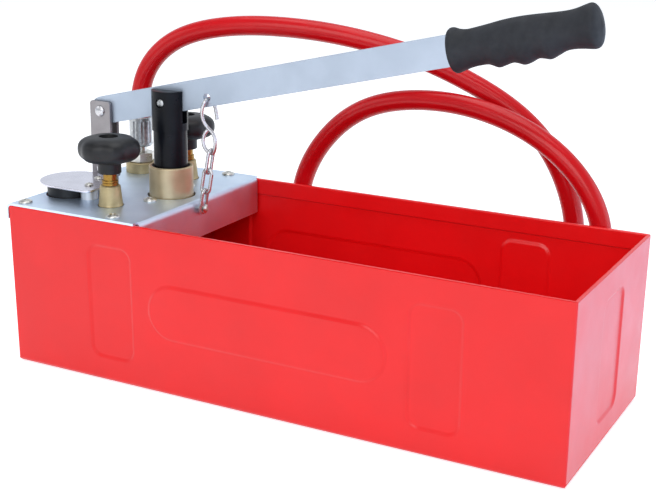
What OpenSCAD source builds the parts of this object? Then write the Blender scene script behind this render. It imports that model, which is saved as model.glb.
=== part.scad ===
// Hydrostatic test pump: an open tank with a lever pump on a cover plate at one end.
// Millimetres. The origin is the middle of the tank's underside.
// +X runs to the open end, -Y is the front side, +Z is up.

/* [Tank] */
// Length of the tank
tank_l = 510; // [490:1:560]
// Width of the tank across its rim
tank_w = 198; // [196:1:230]
// Height of the tank
tank_h = 145; // [140:1:175]
// Thickness of the tank's sheet
sheet_t = 1.5; // [1:0.1:2]
// How much each long side comes in from rim to floor
side_taper = 3; // [0:0.5:6]
// Depth of the hem folded in at the rim
hem_d = 14; // [10:1:18]
// Outside radius of the folds round the floor
fold_r = 4; // [3:0.5:8]
// Depth of the pressed panels
panel_d = 1.5; // [0.5:0.25:2.5]
// Width of the upright panels on the long sides
panel_w = 47; // [30:1:54]
// Distance of the upright panels from the middle
panel_x = 149; // [143:1:160]
// Length of the long panel with round ends
long_panel_l = 222; // [150:1:224]
// Height of the long panel with round ends
long_panel_h = 51; // [30:1:60]

/* [Cover plate] */
// Length of the plate along the tank
plate_l = 136; // [134:1:142]
// Thickness of the plate
plate_t = 2; // [1.5:0.25:3]
// Depth of the skirt outside the tank's end
skirt_d = 14; // [8:1:18]
// Depth of the divider inside the tank
divider_d = 34; // [30:1:50]

/* [Pump] */
// Diameter of the piston rod
rod_d = 30; // [26:1:32]
// Height of the brass collar above the plate
collar_h = 27; // [22:1:28]
// Height of the forked piston head
head_h = 35.5; // [35:0.5:38]

/* [Lever] */
// Height of the fulcrum pin above the plate
fulcrum_h = 69; // [66:1:74]
// Distance from the fulcrum pin to the piston's axis
arm_l = 72; // [68:1:76]
// Tilt of the lever at rest, in degrees
lever_tilt = 13.4; // [12:0.2:15]
// Width of the lever's flat bar
lever_w = 25; // [22:1:26]
// Thickness of the lever's flat bar
lever_t = 6; // [5:0.5:7]
// Length from the fulcrum pin to the end of the grip
lever_l = 466; // [440:1:480]
// Length of the grip
grip_l = 119; // [105:1:135]

/* [Valves] */
// Distance of each valve from the middle of the plate
valve_y = 58.5; // [55:0.5:62]
// Diameter of a valve knob
knob_d = 53.4; // [44:0.2:56]
// Height of a valve knob's head
knob_h = 22; // [20:0.5:26]
// Number of lobes round a knob
knob_lobes = 6; // [5:1:8]

/* [Gauge] */
// Diameter of the gauge's case
gauge_d = 40; // [36:1:41]
// Radius of the guard's round end
guard_r = 30.5; // [29:0.5:31]

/* [Hose] */
// Outside diameter of the hose
hose_d = 18; // [14:1:20]
// Size of the outlet nut across its flats
outlet_nut_af = 22; // [19:1:24]
// Size of the far end's nut across its flats
end_nut_af = 27; // [25:1:27]

/* [Hidden] */
$fn = 48;

// Radial gap of a turning or sliding fit, and of a piece set in its hole
fit = 0.05;
seat = 0.1;

// Places along the plate, from its two ends
plate_x0 = -tank_l / 2;
plate_x1 = plate_x0 + plate_l;
plate_top = tank_h + plate_t;
piston_x = plate_x1 - 33;
fulcrum_x = piston_x - arm_l;
fulcrum_z = plate_top + fulcrum_h;
valve_x = plate_x1 - 56;
gauge_at = [plate_x0 + 24, -44];
outlet_at = [plate_x0 + 27, 60];
plate_screw_at = [for (x = [plate_x0 + 12, plate_x0 + 106], y = [-1, 1]) [x, y * (tank_w / 2 - 9)]];
body_screw_y = 30;
bend_r = plate_t + 1;
lean = atan(side_taper / tank_h);

// Heights of the pump's inner pieces
body_z0 = tank_h - 32;
body_floor = body_z0 + 6;
collar_z0 = body_z0 + 5;
collar_top = plate_top + collar_h;
valve_seat_z = 28;
barrel_z0 = 40;
barrel_floor = barrel_z0 + 8;
ball_r = 4.5;
seat_r = 3.5;
ball_rise = sqrt(ball_r * ball_r - seat_r * seat_r) + 0.15;

// The lever, the piston and the hook
rod_r = rod_d / 2;
collar_r = rod_r + 4.7;
slot_drop = 1.8;
pin_z = fulcrum_z + arm_l * tan(lever_tilt) - slot_drop / cos(lever_tilt);
head_top = pin_z + 10;
head_z0 = head_top - head_h;
rod_z0 = barrel_floor + 37;
slot_r = 4.45;
strap_in = lever_t / 2 + 0.5;
strap_t = 3;
strap_w = 22;
strap_end = 9;
strap_pin_z = plate_top + 16;
lug_front = -20.5;
lug_screw_x = [fulcrum_x - 6.2, fulcrum_x + 6.2];
lug_screw_y = -14;
hook_along = 115;
hook_drop = 4.5;
hook_x = fulcrum_x + hook_along * cos(lever_tilt) + hook_drop * sin(lever_tilt);
hook_z = fulcrum_z + hook_along * sin(lever_tilt) - hook_drop * cos(lever_tilt);
hook_hole_r = 3.5;
hook_wire_r = 1.5;
hook_top = hook_z - hook_hole_r + hook_wire_r + 0.8;

// The chain, drawn taut between the hook's eye and the anchor
link_wire_r = 1.4;
link_half_w = 4;
anchor_y = -5;
anchor_z = plate_top - 7.5;
anchor_r = 2;
anchor_l = 6.5;
eye_bottom = hook_top - 48;
eye_x = 1.5;
eye_y = 1;
link_top = [hook_x + eye_x, eye_y, eye_bottom + hook_wire_r + link_wire_r + 0.3];
link_foot = [plate_x1 + 3, anchor_y - 0.4, anchor_z - anchor_r - link_wire_r - 0.3];
link_gap = 2 * link_wire_r + 0.2;
link_run = norm(link_top - link_foot);
link_side = asin((link_foot[1] - link_top[1]) / link_run);
link_lean = atan2(link_top[0] - link_foot[0], link_top[2] - link_foot[2]);
link_cc = (link_run + 2 * link_gap) / 3;

// The valves
bonnet_top = plate_top + 18;
gland_top = bonnet_top + 4.5;
hub_z0 = plate_top + 28.5;
hub_h = 11.8;
knob_z0 = hub_z0 + hub_h - 1;
knob_top = knob_z0 + knob_h;
knob_floor = knob_top - 5;
spindle_r = 6;
stub_r = 4;
stub_top = knob_floor - 4;

// The gauge
gauge_r = gauge_d / 2;
gauge_z0 = tank_h - 14;
gauge_top = plate_top + 8;
dial_z = gauge_top - 8;
gauge_arm_top = gauge_z0 - 2;
guard_at = [plate_x0 + 25.5, -39];
guard_z0 = plate_top + 10.1;
guard_t = 2;
guard_pivot = [plate_x0 + 51, -51];
guard_stop = [plate_x0 + 43, -27];
guard_right = plate_x0 + 65;

// The hose and its fittings
outlet_z = plate_top + 10;
ferrule_z0 = plate_top + 25;
ferrule_l = 28;
ferrule_r = hose_d / 2 + 2;
hose_start = [outlet_at[0], outlet_at[1], ferrule_z0 + ferrule_l];
end_z = 13.5;
end_y = 112;
end_x = 50;
end_nut_l = 22;
end_bore_r = 9.3;

// Route of the hose, from the outlet over the tank, round behind it and on to the floor
hose_points = concat(
    [for (h = [0, 6, 19]) hose_start + [0, 0, h]],
    [
        [-223, 61, 241], [-210, 64, 261], [-190, 68, 276], [-165, 72, 285],
        [-137, 78, 290], [-104, 85, 292], [-58, 95, 290], [-12, 105, 283],
        [34, 116, 271], [76, 126, 253], [115, 134, 232], [147, 140, 204],
        [168, 144, 166], [178, 148, 124], [173, 151, 86], [152, 153, 53],
        [122, 154, 28], [84, 154, 13], [40, 151, 10.5], [-4, 146, 14],
        [-44, 138, 30], [-74, 127, 60], [-87, 117, 100], [-82, 112, 147],
        [-58, 112, 190], [-19, 112, 223], [32, 112, 235], [86, 112, 234],
        [137, 112, 220], [180, 112, 193], [208, 112, 155], [214, 112, 114],
        [197, 112, 76], [168, 112, 45], [130, 112, 24]
    ],
    [for (x = [90, end_x + 6, end_x]) [x, end_y, end_z]]
);

function unit(v) = v / norm(v);
function half_w(z) = tank_w / 2 - side_taper * (1 - z / tank_h);

// One point of a smooth curve between b and c
function blend(a, b, c, d, t) =
    ((1 - t) ^ 3 * a + (3 * t ^ 3 - 6 * t ^ 2 + 4) * b
    + (-3 * t ^ 3 + 3 * t ^ 2 + 3 * t + 1) * c + t ^ 3 * d) / 6;

// A smooth curve that starts at the first point and ends at the last
function smooth(p, steps) =
    let (last = len(p) - 1)
    let (q = concat([2 * p[0] - p[1]], p, [2 * p[last] - p[last - 1]]))
    concat(
        [for (i = [0:last - 1], k = [0:steps - 1]) blend(q[i], q[i + 1], q[i + 2], q[i + 3], k / steps)],
        [p[last]]
    );

// A round wire or tube along a path, with flat ends or closed into a loop
module sweep(path, r, sides, ref, closed = false) {
    n = len(path);
    runs = closed ? n : n - 1;
    next = [for (i = [0:n - 1]) closed ? (i + 1) % n : min(i + 1, n - 1)];
    before = [for (i = [0:n - 1]) closed ? (i + n - 1) % n : max(i - 1, 0)];
    ahead = [for (i = [0:n - 1]) unit(path[next[i]] - path[before[i]])];
    across = [
        for (i = 0, s = unit(cross(ahead[0], ref)); i < n; i = i + 1,
            s = i < n ? unit(s - ahead[i] * (s * ahead[i])) : s) s
    ];
    points = [
        for (i = [0:n - 1], k = [0:sides - 1])
            let (a = 360 * k / sides)
            path[i] + r * (cos(a) * across[i] + sin(a) * cross(ahead[i], across[i]))
    ];
    skin = [
        for (i = [0:runs - 1], k = [0:sides - 1])
            let (a = i * sides + k, b = i * sides + (k + 1) % sides)
            let (c = next[i] * sides + k, d = next[i] * sides + (k + 1) % sides)
            each [[a, c, b], [c, d, b]]
    ];
    caps = closed ? [] : [
        [for (k = [0:sides - 1]) k],
        [for (k = [sides - 1:-1:0]) (n - 1) * sides + k]
    ];
    polyhedron(points, concat(skin, caps));
}

module ring(r_out, r_in, h) {
    difference() {
        cylinder(r = r_out, h = h);
        translate([0, 0, -1]) cylinder(r = r_in, h = h + 2);
    }
}

module round_rect(w, h, r) {
    square([w - 2 * r, h], center = true);
    square([w, h - 2 * r], center = true);
    for (x = [-1, 1], y = [-1, 1])
        translate([x * (w / 2 - r), y * (h / 2 - r)]) circle(r);
}

// A screw with a domed head that stands on z = 0 and points down
module dome_screw(shank_d, shank_l, head_d, head_t) {
    dome_r = (head_d * head_d / 4 + head_t * head_t) / (2 * head_t);
    difference() {
        union() {
            translate([0, 0, -shank_l]) cylinder(d = shank_d, h = shank_l + 0.2);
            intersection() {
                translate([0, 0, head_t - dome_r]) sphere(dome_r);
                cylinder(d = head_d, h = head_t);
            }
        }
        for (turn = [0, 90])
            rotate([0, 0, turn])
                translate([-head_d * 0.3, -0.45, head_t * 0.45]) cube([head_d * 0.6, 0.9, head_t]);
    }
}

module hex(af, h) {
    cylinder(r = af / 2 / cos(30), h = h, $fn = 6);
}

module hex_nut(af, h, bore_r) {
    difference() {
        hex(af, h);
        translate([0, 0, -1]) cylinder(r = bore_r, h = h + 2);
    }
}

// Crimped sleeve that stands on z = 0, with a bore for the nipple
module crimped_sleeve(r, h, bore_r) {
    difference() {
        cylinder(r = r, h = h);
        translate([0, 0, -1]) cylinder(r = bore_r, h = h - 3);
        for (turn = [0:45:315])
            rotate([0, 0, turn]) translate([r - 0.7, -0.8, 3]) cube([2, 1.6, h - 6]);
    }
}

// The tank's cross-section, drawn in from the outside by a set thickness
module tank_section(inset, top) {
    r = fold_r - inset;
    side = half_w(inset + r) - (inset + r) / cos(lean);
    half = [
        [side, inset],
        [side + r * cos(lean), inset + r - r * sin(lean)],
        [half_w(top) - inset / cos(lean), top]
    ];
    polygon(concat(half, [for (i = [2:-1:0]) [-half[i][0], half[i][1]]]));
    for (s = [-1, 1]) translate([s * side, inset + r]) circle(r);
}

module end_section(inset, top) {
    r = fold_r - inset;
    half = tank_l / 2 - inset;
    translate([-half, inset + r]) square([2 * half, top - inset - r]);
    translate([-half + r, inset]) square([2 * (half - r), top - inset]);
    for (s = [-1, 1]) translate([s * (half - r), inset + r]) circle(r);
}

module tank_block(inset, top) {
    intersection() {
        rotate([90, 0, 90]) linear_extrude(tank_l, center = true) tank_section(inset, top);
        rotate([90, 0, 0]) linear_extrude(tank_w + 20, center = true) end_section(inset, top);
    }
}

// Puts shapes on the two long walls, with z outward from the sheet
module on_long_walls() {
    for (turn = [0, 180])
        rotate([0, 0, turn])
            translate([0, -half_w(tank_h / 2), tank_h / 2]) rotate([90 + lean, 0, 0]) children();
}

module on_end_walls() {
    for (turn = [90, -90])
        rotate([0, 0, turn])
            translate([0, -tank_l / 2, tank_h / 2]) rotate([90, 0, 0]) children();
}

module upright_panels(inset, h) {
    for (s = [-1, 1])
        translate([s * panel_x, 0]) linear_extrude(h) round_rect(panel_w - inset, tank_h - 41 - inset, 12);
}

module end_panel(inset, h) {
    linear_extrude(h) round_rect(56 - inset, tank_h - 41 - inset, 12);
}

module long_panel(inset, h) {
    translate([0, 2]) linear_extrude(h)
        round_rect(long_panel_l - inset, long_panel_h - inset, (long_panel_h - inset) / 2 - 0.1);
}

module screw_tabs() {
    for (at = plate_screw_at) {
        inner = abs(at[1]) - 9;
        length = tank_w / 2 - sheet_t - inner;
        y = at[1] > 0 ? inner : -inner - length;
        translate([at[0] - 9, y, tank_h - 2]) cube([18, length, 2]);
    }
}

module tank() color("crimson") difference() {
    union() {
        difference() {
            tank_block(0, tank_h);
            tank_block(sheet_t, tank_h - hem_d);
            tank_block(2 * sheet_t + 0.2, tank_h + 5);
        }
        on_long_walls() translate([0, 0, -sheet_t - panel_d]) upright_panels(0, panel_d + sheet_t / 2);
        on_long_walls() translate([0, 0, -sheet_t / 2]) long_panel(0, panel_d + sheet_t / 2);
        on_end_walls() translate([0, 0, -sheet_t - panel_d]) end_panel(0, panel_d + sheet_t / 2);
        screw_tabs();
    }
    on_long_walls() translate([0, 0, -panel_d]) upright_panels(2 * sheet_t, panel_d + 1);
    on_long_walls() translate([0, 0, -sheet_t - 1]) long_panel(2 * sheet_t, panel_d + 1);
    on_end_walls() translate([0, 0, -panel_d]) end_panel(2 * sheet_t, panel_d + 1);
    for (at = plate_screw_at)
        translate([at[0], at[1], tank_h - 6]) cylinder(d = 5.4, h = 10);
}

module cover_plate() color("lightsteelblue") {
    divider_half = half_w(tank_h - hem_d) - 2 * sheet_t - 1.2;
    difference() {
        union() {
            translate([plate_x0 - plate_t, -tank_w / 2, tank_h])
                cube([plate_l + plate_t - bend_r, tank_w, plate_t]);
            translate([plate_x0 - plate_t, -tank_w / 2, plate_top - skirt_d])
                cube([plate_t, tank_w, skirt_d]);
            translate([plate_x1 - plate_t, -divider_half, plate_top - divider_d])
                cube([plate_t, 2 * divider_half, divider_d - bend_r]);
            translate([plate_x1 - bend_r, divider_half, plate_top - bend_r]) rotate([90, 0, 0])
                rotate_extrude(angle = 90) translate([1, 0]) square([plate_t, 2 * divider_half]);
        }
        translate([piston_x, 0, tank_h - 1]) cylinder(r = rod_r + 6.5, h = plate_t + 2);
        for (s = [-1, 1]) {
            translate([valve_x, s * valve_y, tank_h - 1]) cylinder(r = 11.5, h = plate_t + 2);
            translate([piston_x - 2, s * body_screw_y, tank_h - 1]) cylinder(d = 6.4, h = plate_t + 2);
        }
        for (x = lug_screw_x) translate([x, lug_screw_y, tank_h - 1]) cylinder(d = 6.4, h = plate_t + 2);
        translate([gauge_at[0], gauge_at[1], tank_h - 1]) cylinder(r = gauge_r + 1.3, h = plate_t + 2);
        translate([outlet_at[0], outlet_at[1], tank_h - 1]) cylinder(r = 10.5, h = plate_t + 2);
        for (at = plate_screw_at)
            translate([at[0], at[1], tank_h - 1]) cylinder(d = 5.4, h = plate_t + 2);
        for (at = [guard_pivot, guard_stop])
            translate([at[0], at[1], tank_h - 1]) cylinder(d = 4.2, h = plate_t + 2);
        translate([plate_x1 - plate_t - 1, anchor_y, anchor_z]) rotate([0, 90, 0])
            cylinder(r = anchor_r + seat, h = plate_t + 2);
    }
}

module plate_screws() color("silver")
    for (at = plate_screw_at)
        translate([at[0], at[1], plate_top]) dome_screw(5, 10, 12, 2.8);

module plate_nuts() color("silver")
    for (at = plate_screw_at)
        translate([at[0], at[1], tank_h - 6.2]) hex_nut(8, 4, 2.6);

// The casting under the plate that joins the cylinder, the valves, the gauge and the outlet
module pump_body() color("darkgoldenrod") difference() {
    union() {
        translate([valve_x - 15, -valve_y - 14, body_z0]) cube([30, 2 * valve_y + 28, 32]);
        translate([piston_x, 0, body_z0]) cylinder(r = rod_r + 10, h = 32);
        translate([piston_x - 10, -body_screw_y - 7, body_z0]) cube([16, 2 * body_screw_y + 14, 32]);
        translate([fulcrum_x - 23, lug_front, body_z0]) cube([piston_x - fulcrum_x + 23, 12 - lug_front, 32]);
        translate([outlet_at[0] - 16, outlet_at[1] - 15, body_z0])
            cube([valve_x - outlet_at[0] + 16, 27, 32]);
        translate([gauge_at[0] - 14, gauge_at[1] - 13, body_z0])
            cube([valve_x - gauge_at[0] + 14, 26, gauge_arm_top - body_z0]);
    }
    translate([piston_x, 0, body_z0 - 1]) cylinder(r = rod_r + 7 + seat, h = 6);
    translate([piston_x, 0, collar_z0]) cylinder(r = collar_r + seat, h = 40);
    for (s = [-1, 1]) {
        translate([valve_x, s * valve_y, body_floor]) cylinder(r = 9 + seat, h = 40);
        translate([piston_x - 2, s * body_screw_y, tank_h - 16]) cylinder(d = 5.2, h = 20);
    }
    for (x = lug_screw_x) translate([x, lug_screw_y, tank_h - 16]) cylinder(d = 5.2, h = 20);
    translate([outlet_at[0], outlet_at[1], body_floor]) cylinder(r = 6.5, h = 40);
    translate([outlet_at[0], outlet_at[1], tank_h - 8]) cylinder(r = 10 + seat, h = 20);
    translate([outlet_at[0], outlet_at[1], body_z0 + 2]) cylinder(r = seat_r, h = 20);
    translate([gauge_at[0], gauge_at[1], gauge_arm_top - 11]) cylinder(r = 5 + seat, h = 20);
    translate([valve_x, outlet_at[1], body_z0 + 4.5]) rotate([90, 0, 0])
        cylinder(r = 2, h = valve_y + outlet_at[1]);
    translate([outlet_at[0], outlet_at[1], body_z0 + 4.5]) rotate([0, 90, 0])
        cylinder(r = 2, h = valve_x - outlet_at[0]);
    translate([gauge_at[0], gauge_at[1], body_z0 + 4.5]) rotate([0, 90, 0])
        cylinder(r = 2, h = valve_x - gauge_at[0]);
    translate([gauge_at[0], gauge_at[1], body_z0 + 4.5]) cylinder(r = 2, h = 10);
}

module body_screws() color("silver")
    for (s = [-1, 1])
        translate([piston_x - 2, s * body_screw_y, plate_top]) dome_screw(5, 14, 12, 3);

module cylinder_barrel() color("goldenrod") translate([piston_x, 0, 0]) difference() {
    translate([0, 0, barrel_z0]) cylinder(r = rod_r + 7, h = collar_z0 - barrel_z0);
    translate([0, 0, barrel_floor]) cylinder(r = rod_r + 1.5, h = collar_z0);
    translate([0, 0, barrel_z0 - 1]) cylinder(r = 7 + seat, h = 20);
}

module cylinder_collar() color("gold") translate([piston_x, 0, 0]) difference() {
    rotate_extrude() polygon([
        [0, collar_z0], [collar_r, collar_z0], [collar_r, collar_top - 1.2],
        [collar_r - 1.2, collar_top], [0, collar_top]
    ]);
    translate([0, 0, collar_z0 - 1]) cylinder(r = rod_r + 0.8, h = 20);
    translate([0, 0, collar_z0 + 4]) cylinder(r = rod_r + 2, h = 100);
}

module guide_bush() color("peru")
    translate([piston_x, 0, collar_z0 + 17]) ring(rod_r + 1.95, rod_r + fit, collar_top - collar_z0 - 21);

module rod_seal() color("black")
    translate([piston_x, 0, collar_z0 + 6]) ring(rod_r + 1.95, rod_r + 0.3, 10);

module wiper_ring() color("black")
    translate([piston_x, 0, collar_top - 3.8]) ring(rod_r + 1.95, rod_r + 0.3, 3);

module suction_valve_body() color("goldenrod") translate([piston_x, 0, 0]) difference() {
    union() {
        translate([0, 0, 18]) cylinder(r = 15, h = barrel_z0 - 18);
        cylinder(r = 7, h = barrel_floor);
    }
    translate([0, 0, -1]) cylinder(r = 20, h = 19);
    translate([0, 0, 10]) cylinder(r = seat_r, h = 60);
    translate([0, 0, valve_seat_z]) cylinder(r = 5.5, h = barrel_floor - valve_seat_z - 1.5);
}

module suction_ball() color("silver")
    translate([piston_x, 0, valve_seat_z + ball_rise]) sphere(ball_r);

// A coil spring that stands on z = 0
module coil(r, wire_r, h, turns) {
    steps = 12 * turns;
    sweep(
        [for (i = [0:steps]) [r * cos(30 * i), r * sin(30 * i), wire_r + (h - 2 * wire_r) * i / steps]],
        wire_r, 6, [0, 0, 1]
    );
}

module suction_spring() color("silver") {
    foot = valve_seat_z + ball_rise + ball_r + 0.1;
    translate([piston_x, 0, foot]) coil(4, 0.5, barrel_floor - 1.7 - foot, 4);
}

module strainer() color("gray") translate([piston_x, 0, 0]) difference() {
    translate([0, 0, 4]) cylinder(r = 17, h = 20);
    translate([0, 0, 5]) cylinder(r = 16, h = 13);
    translate([0, 0, 5]) cylinder(r = 15 + seat, h = 30);
    for (turn = [0:30:330])
        rotate([0, 0, turn]) translate([14, -1.5, 7]) cube([6, 3, 9]);
}

module delivery_ball() color("silver")
    translate([outlet_at[0], outlet_at[1], body_floor + ball_rise]) sphere(ball_r);

module delivery_spring() color("silver") {
    foot = body_floor + ball_rise + ball_r + 0.1;
    translate([outlet_at[0], outlet_at[1], foot]) coil(4.6, 0.5, tank_h - 8.3 - foot, 4);
}

module strap_lug() color("lightgray") translate([fulcrum_x, 0, plate_top]) difference() {
    union() {
        translate([-strap_w / 2, lug_front, 0]) cube([strap_w, strap_in - 0.1 - lug_front, 4]);
        translate([-strap_w / 2, -strap_in + 0.1, 0]) cube([strap_w, 2 * strap_in - 0.2, 24]);
    }
    translate([0, 20, strap_pin_z - plate_top]) rotate([90, 0, 0]) cylinder(r = 5 + fit, h = 40);
    for (x = lug_screw_x) translate([x - fulcrum_x, lug_screw_y, -1]) cylinder(d = 5.4, h = 10);
}

module lug_screws() color("silver")
    for (x = lug_screw_x)
        translate([x, lug_screw_y, plate_top + 4]) dome_screw(5, 17, 9, 2.6);

module strap() rotate([90, 0, 0]) linear_extrude(strap_t) difference() {
    translate([fulcrum_x, (strap_pin_z + fulcrum_z) / 2])
        round_rect(strap_w, fulcrum_z - strap_pin_z + 2 * strap_end, 3);
    for (z = [strap_pin_z, fulcrum_z]) translate([fulcrum_x, z]) circle(5 + fit);
}

module strap_front() color("silver") translate([0, -strap_in, 0]) strap();

module strap_rear() color("silver") translate([0, strap_in + strap_t, 0]) strap();

// A pin along Y with domed ends
module cross_pin(x, z, r, half) translate([x, 0, z]) rotate([90, 0, 0]) {
    dome_t = 1.5;
    dome_r = (r * r + dome_t * dome_t) / (2 * dome_t);
    cylinder(r = r, h = 2 * half - 2 * dome_t, center = true);
    for (s = [0, 1]) mirror([0, 0, s]) intersection() {
        translate([0, 0, half - dome_r]) sphere(dome_r);
        translate([0, 0, half - dome_t - 0.5]) cylinder(r = r, h = 3);
    }
}

module strap_pin() color("silver") cross_pin(fulcrum_x, strap_pin_z, 5, strap_in + strap_t + 2.5);

module fulcrum_pin() color("silver") cross_pin(fulcrum_x, fulcrum_z, 5, strap_in + strap_t + 2.5);

// Puts a shape drawn along the lever into place, with the pin as its origin
module on_lever() translate([fulcrum_x, 0, fulcrum_z]) rotate([0, -lever_tilt, 0]) children();

module lever() color("silver") on_lever() rotate([90, 0, 0]) linear_extrude(lever_t, center = true) {
    slot_mid = [arm_l / cos(lever_tilt) - 1.1, -slot_drop - 0.09];
    difference() {
        union() {
            circle(lever_w / 2);
            translate([0, -lever_w / 2]) square([lever_l - grip_l + 2, lever_w]);
            translate([0, -8]) square([lever_l - 22, 16]);
        }
        circle(5 + fit);
        translate(slot_mid) square([1.7, 2 * slot_r], center = true);
        for (s = [-1, 1]) translate(slot_mid + [s * 0.85, 0]) circle(slot_r);
        translate([hook_along, -hook_drop]) circle(hook_hole_r);
    }
}

// Height of the grip's upper side and depth of its waved underside, from near end to far end
grip_drawn_l = 119;
grip_upper = [
    [0, 16.4], [1.5, 17.2], [4, 17], [8, 15.2], [14, 14], [20, 14.2], [31, 15], [43, 16.1],
    [55, 16.5], [66, 16.2], [78, 15.4], [88, 14.7], [96, 14.5], [102, 15], [108, 16.2],
    [113, 17], [115.5, 16], [117.5, 13], [118.6, 9], [119, 5]
];
grip_lower = [
    [0, 17.4], [1.5, 18.3], [4, 18], [9, 16.8], [14, 15.7], [21, 15.2], [28, 15.5], [32, 17.2],
    [36, 19], [40.5, 18.3], [47.5, 17.1], [52, 18.3], [56.3, 20], [61.5, 19.2], [67.7, 17.1],
    [72, 17.7], [77.3, 19.1], [83.3, 17.2], [90, 14.8], [97, 14.6], [104, 15.5], [111, 16.8],
    [114, 16.6], [116.5, 14.5], [118.2, 10], [119, 5]
];
// Share of its height that the grip is wide
grip_oval = 0.85;

module grip() color("black") on_lever() difference() {
    rings = 61;
    sides = 28;
    points = [
        for (i = [0:rings], k = [0:sides - 1])
            let (s = grip_drawn_l * i / rings, a = 360 * k / sides)
            let (share = (1 - sin(a)) / 2)
            let (r = lookup(s, grip_upper) * (1 - share) + lookup(s, grip_lower) * share)
            [lever_l - grip_l + grip_l * i / rings, grip_oval * r * cos(a), r * sin(a)]
    ];
    faces = concat(
        [for (i = [0:rings - 1], k = [0:sides - 1])
            [i * sides + k, (i + 1) * sides + k, i * sides + (k + 1) % sides]],
        [for (i = [0:rings - 1], k = [0:sides - 1])
            [(i + 1) * sides + k, (i + 1) * sides + (k + 1) % sides, i * sides + (k + 1) % sides]],
        [[for (k = [0:sides - 1]) k]],
        [[for (k = [sides - 1:-1:0]) rings * sides + k]]
    );
    polyhedron(points, faces);
    translate([lever_l - grip_l - 5, -lever_t / 2 - seat, -8 - seat])
        cube([grip_l - 16, lever_t + 2 * seat, 16 + 2 * seat]);
    translate([lever_l - grip_l - 5, -lever_t / 2 - seat, -lever_w / 2 - seat])
        cube([7.2, lever_t + 2 * seat, lever_w + 2 * seat]);
}

module piston() color("dimgray") translate([piston_x, 0, 0]) difference() {
    union() {
        translate([0, 0, rod_z0]) cylinder(r = rod_r, h = head_z0 - rod_z0 + 1);
        translate([0, 0, head_z0]) cylinder(r = rod_r + 1, h = head_h);
    }
    translate([-30, -strap_in, pin_z - 18.5]) cube([60, 2 * strap_in, 60]);
    translate([0, 30, pin_z]) rotate([90, 0, 0]) cylinder(r = 4 + fit, h = 60);
}

module piston_pin() color("silver") cross_pin(piston_x, pin_z, 4, rod_r + 0.8);

module valve_at(side) translate([valve_x, side * valve_y, 0]) children();

module bonnet() difference() {
    rotate_extrude() polygon([
        [0, body_floor + 2], [9, body_floor + 2], [9, tank_h], [10, plate_top],
        [8.7, bonnet_top - 1], [7.7, bonnet_top], [0, bonnet_top]
    ]);
    translate([0, 0, body_floor - 1]) cylinder(r = 7.2, h = 12);
    translate([0, 0, body_floor]) cylinder(r = spindle_r + fit, h = 100);
    translate([0, 0, plate_top]) cylinder(r = 8, h = 3.2);
}

module bonnet_front() color("goldenrod") valve_at(-1) bonnet();

module bonnet_rear() color("goldenrod") valve_at(1) bonnet();

module gland_nuts() color("gold")
    for (s = [-1, 1])
        valve_at(s) translate([0, 0, bonnet_top]) ring(7.1, spindle_r + fit, gland_top - bonnet_top);

module spindle_seals() color("black")
    for (s = [-1, 1])
        valve_at(s) translate([0, 0, plate_top + 0.1]) ring(7.9, spindle_r + 0.3, 3);

module spindle() difference() {
    union() {
        translate([0, 0, body_floor + 9]) cylinder(r = spindle_r, h = hub_z0 + 8 - body_floor - 9);
        translate([0, 0, body_floor + 4]) cylinder(r1 = 2, r2 = spindle_r, h = 5);
        translate([0, 0, hub_z0]) cylinder(r = stub_r, h = stub_top - hub_z0);
    }
    translate([0, 0, stub_top - 12]) cylinder(r = 2.4 + fit, h = 20);
}

module spindle_front() color("gold") valve_at(-1) spindle();

module spindle_rear() color("gold") valve_at(1) spindle();

module knob() difference() {
    knob_r = knob_d / 2;
    dome_h = 12;
    flat_r = 9;
    belly_r = 12;
    valley_r = 26;
    valley_in = 1.9;
    mid = knob_top - dome_h;
    union() {
        rotate_extrude() polygon(concat(
            [[0, knob_z0]],
            [for (a = [-90:10:0]) [knob_r - belly_r * (1 - cos(a)), mid + (mid - knob_z0) * sin(a)]],
            [for (a = [10:10:90]) [flat_r + (knob_r - flat_r) * cos(a), mid + dome_h * sin(a)]],
            [[0, knob_top]]
        ));
        translate([0, 0, hub_z0]) cylinder(r = 10, h = hub_h);
    }
    for (i = [0:knob_lobes - 1])
        rotate([0, 0, -67 + 360 * i / knob_lobes])
            translate([knob_r + valley_r - valley_in, 0, knob_z0 - 1])
                cylinder(r = valley_r, h = knob_h + 2);
    translate([0, 0, knob_floor]) cylinder(r = 8, h = 10);
    translate([0, 0, hub_z0 - 1]) cylinder(r = spindle_r + fit, h = 9.1);
    translate([0, 0, hub_z0]) cylinder(r = stub_r + fit, h = stub_top + 0.2 - hub_z0);
    translate([0, 0, hub_z0]) cylinder(r = 2.4 + seat, h = 60);
}

module knob_front() color("#1c1c1e") valve_at(-1) knob();

module knob_rear() color("#1c1c1e") valve_at(1) knob();

module knob_screw() translate([0, 0, knob_floor]) dome_screw(4.8, 14, 11, 3);

module knob_screw_front() color("silver") valve_at(-1) knob_screw();

module knob_screw_rear() color("silver") valve_at(1) knob_screw();

module gauge_place(z) translate([gauge_at[0], gauge_at[1], z]) children();

module gauge_case() color("#1c1c1e") gauge_place(gauge_z0) difference() {
    cylinder(r = gauge_r, h = gauge_top - gauge_z0);
    translate([0, 0, 2.5]) cylinder(r = gauge_r - 1.5, h = 40);
    translate([0, 0, -1]) cylinder(r = 4 + seat, h = 10);
}

module gauge_stem() color("goldenrod") gauge_place(0) {
    translate([0, 0, gauge_arm_top - 10]) cylinder(r = 5, h = 10);
    translate([0, 0, gauge_arm_top]) hex(14, gauge_z0 - gauge_arm_top);
    translate([0, 0, gauge_z0 - 0.5]) cylinder(r = 4, h = 6);
}

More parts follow.
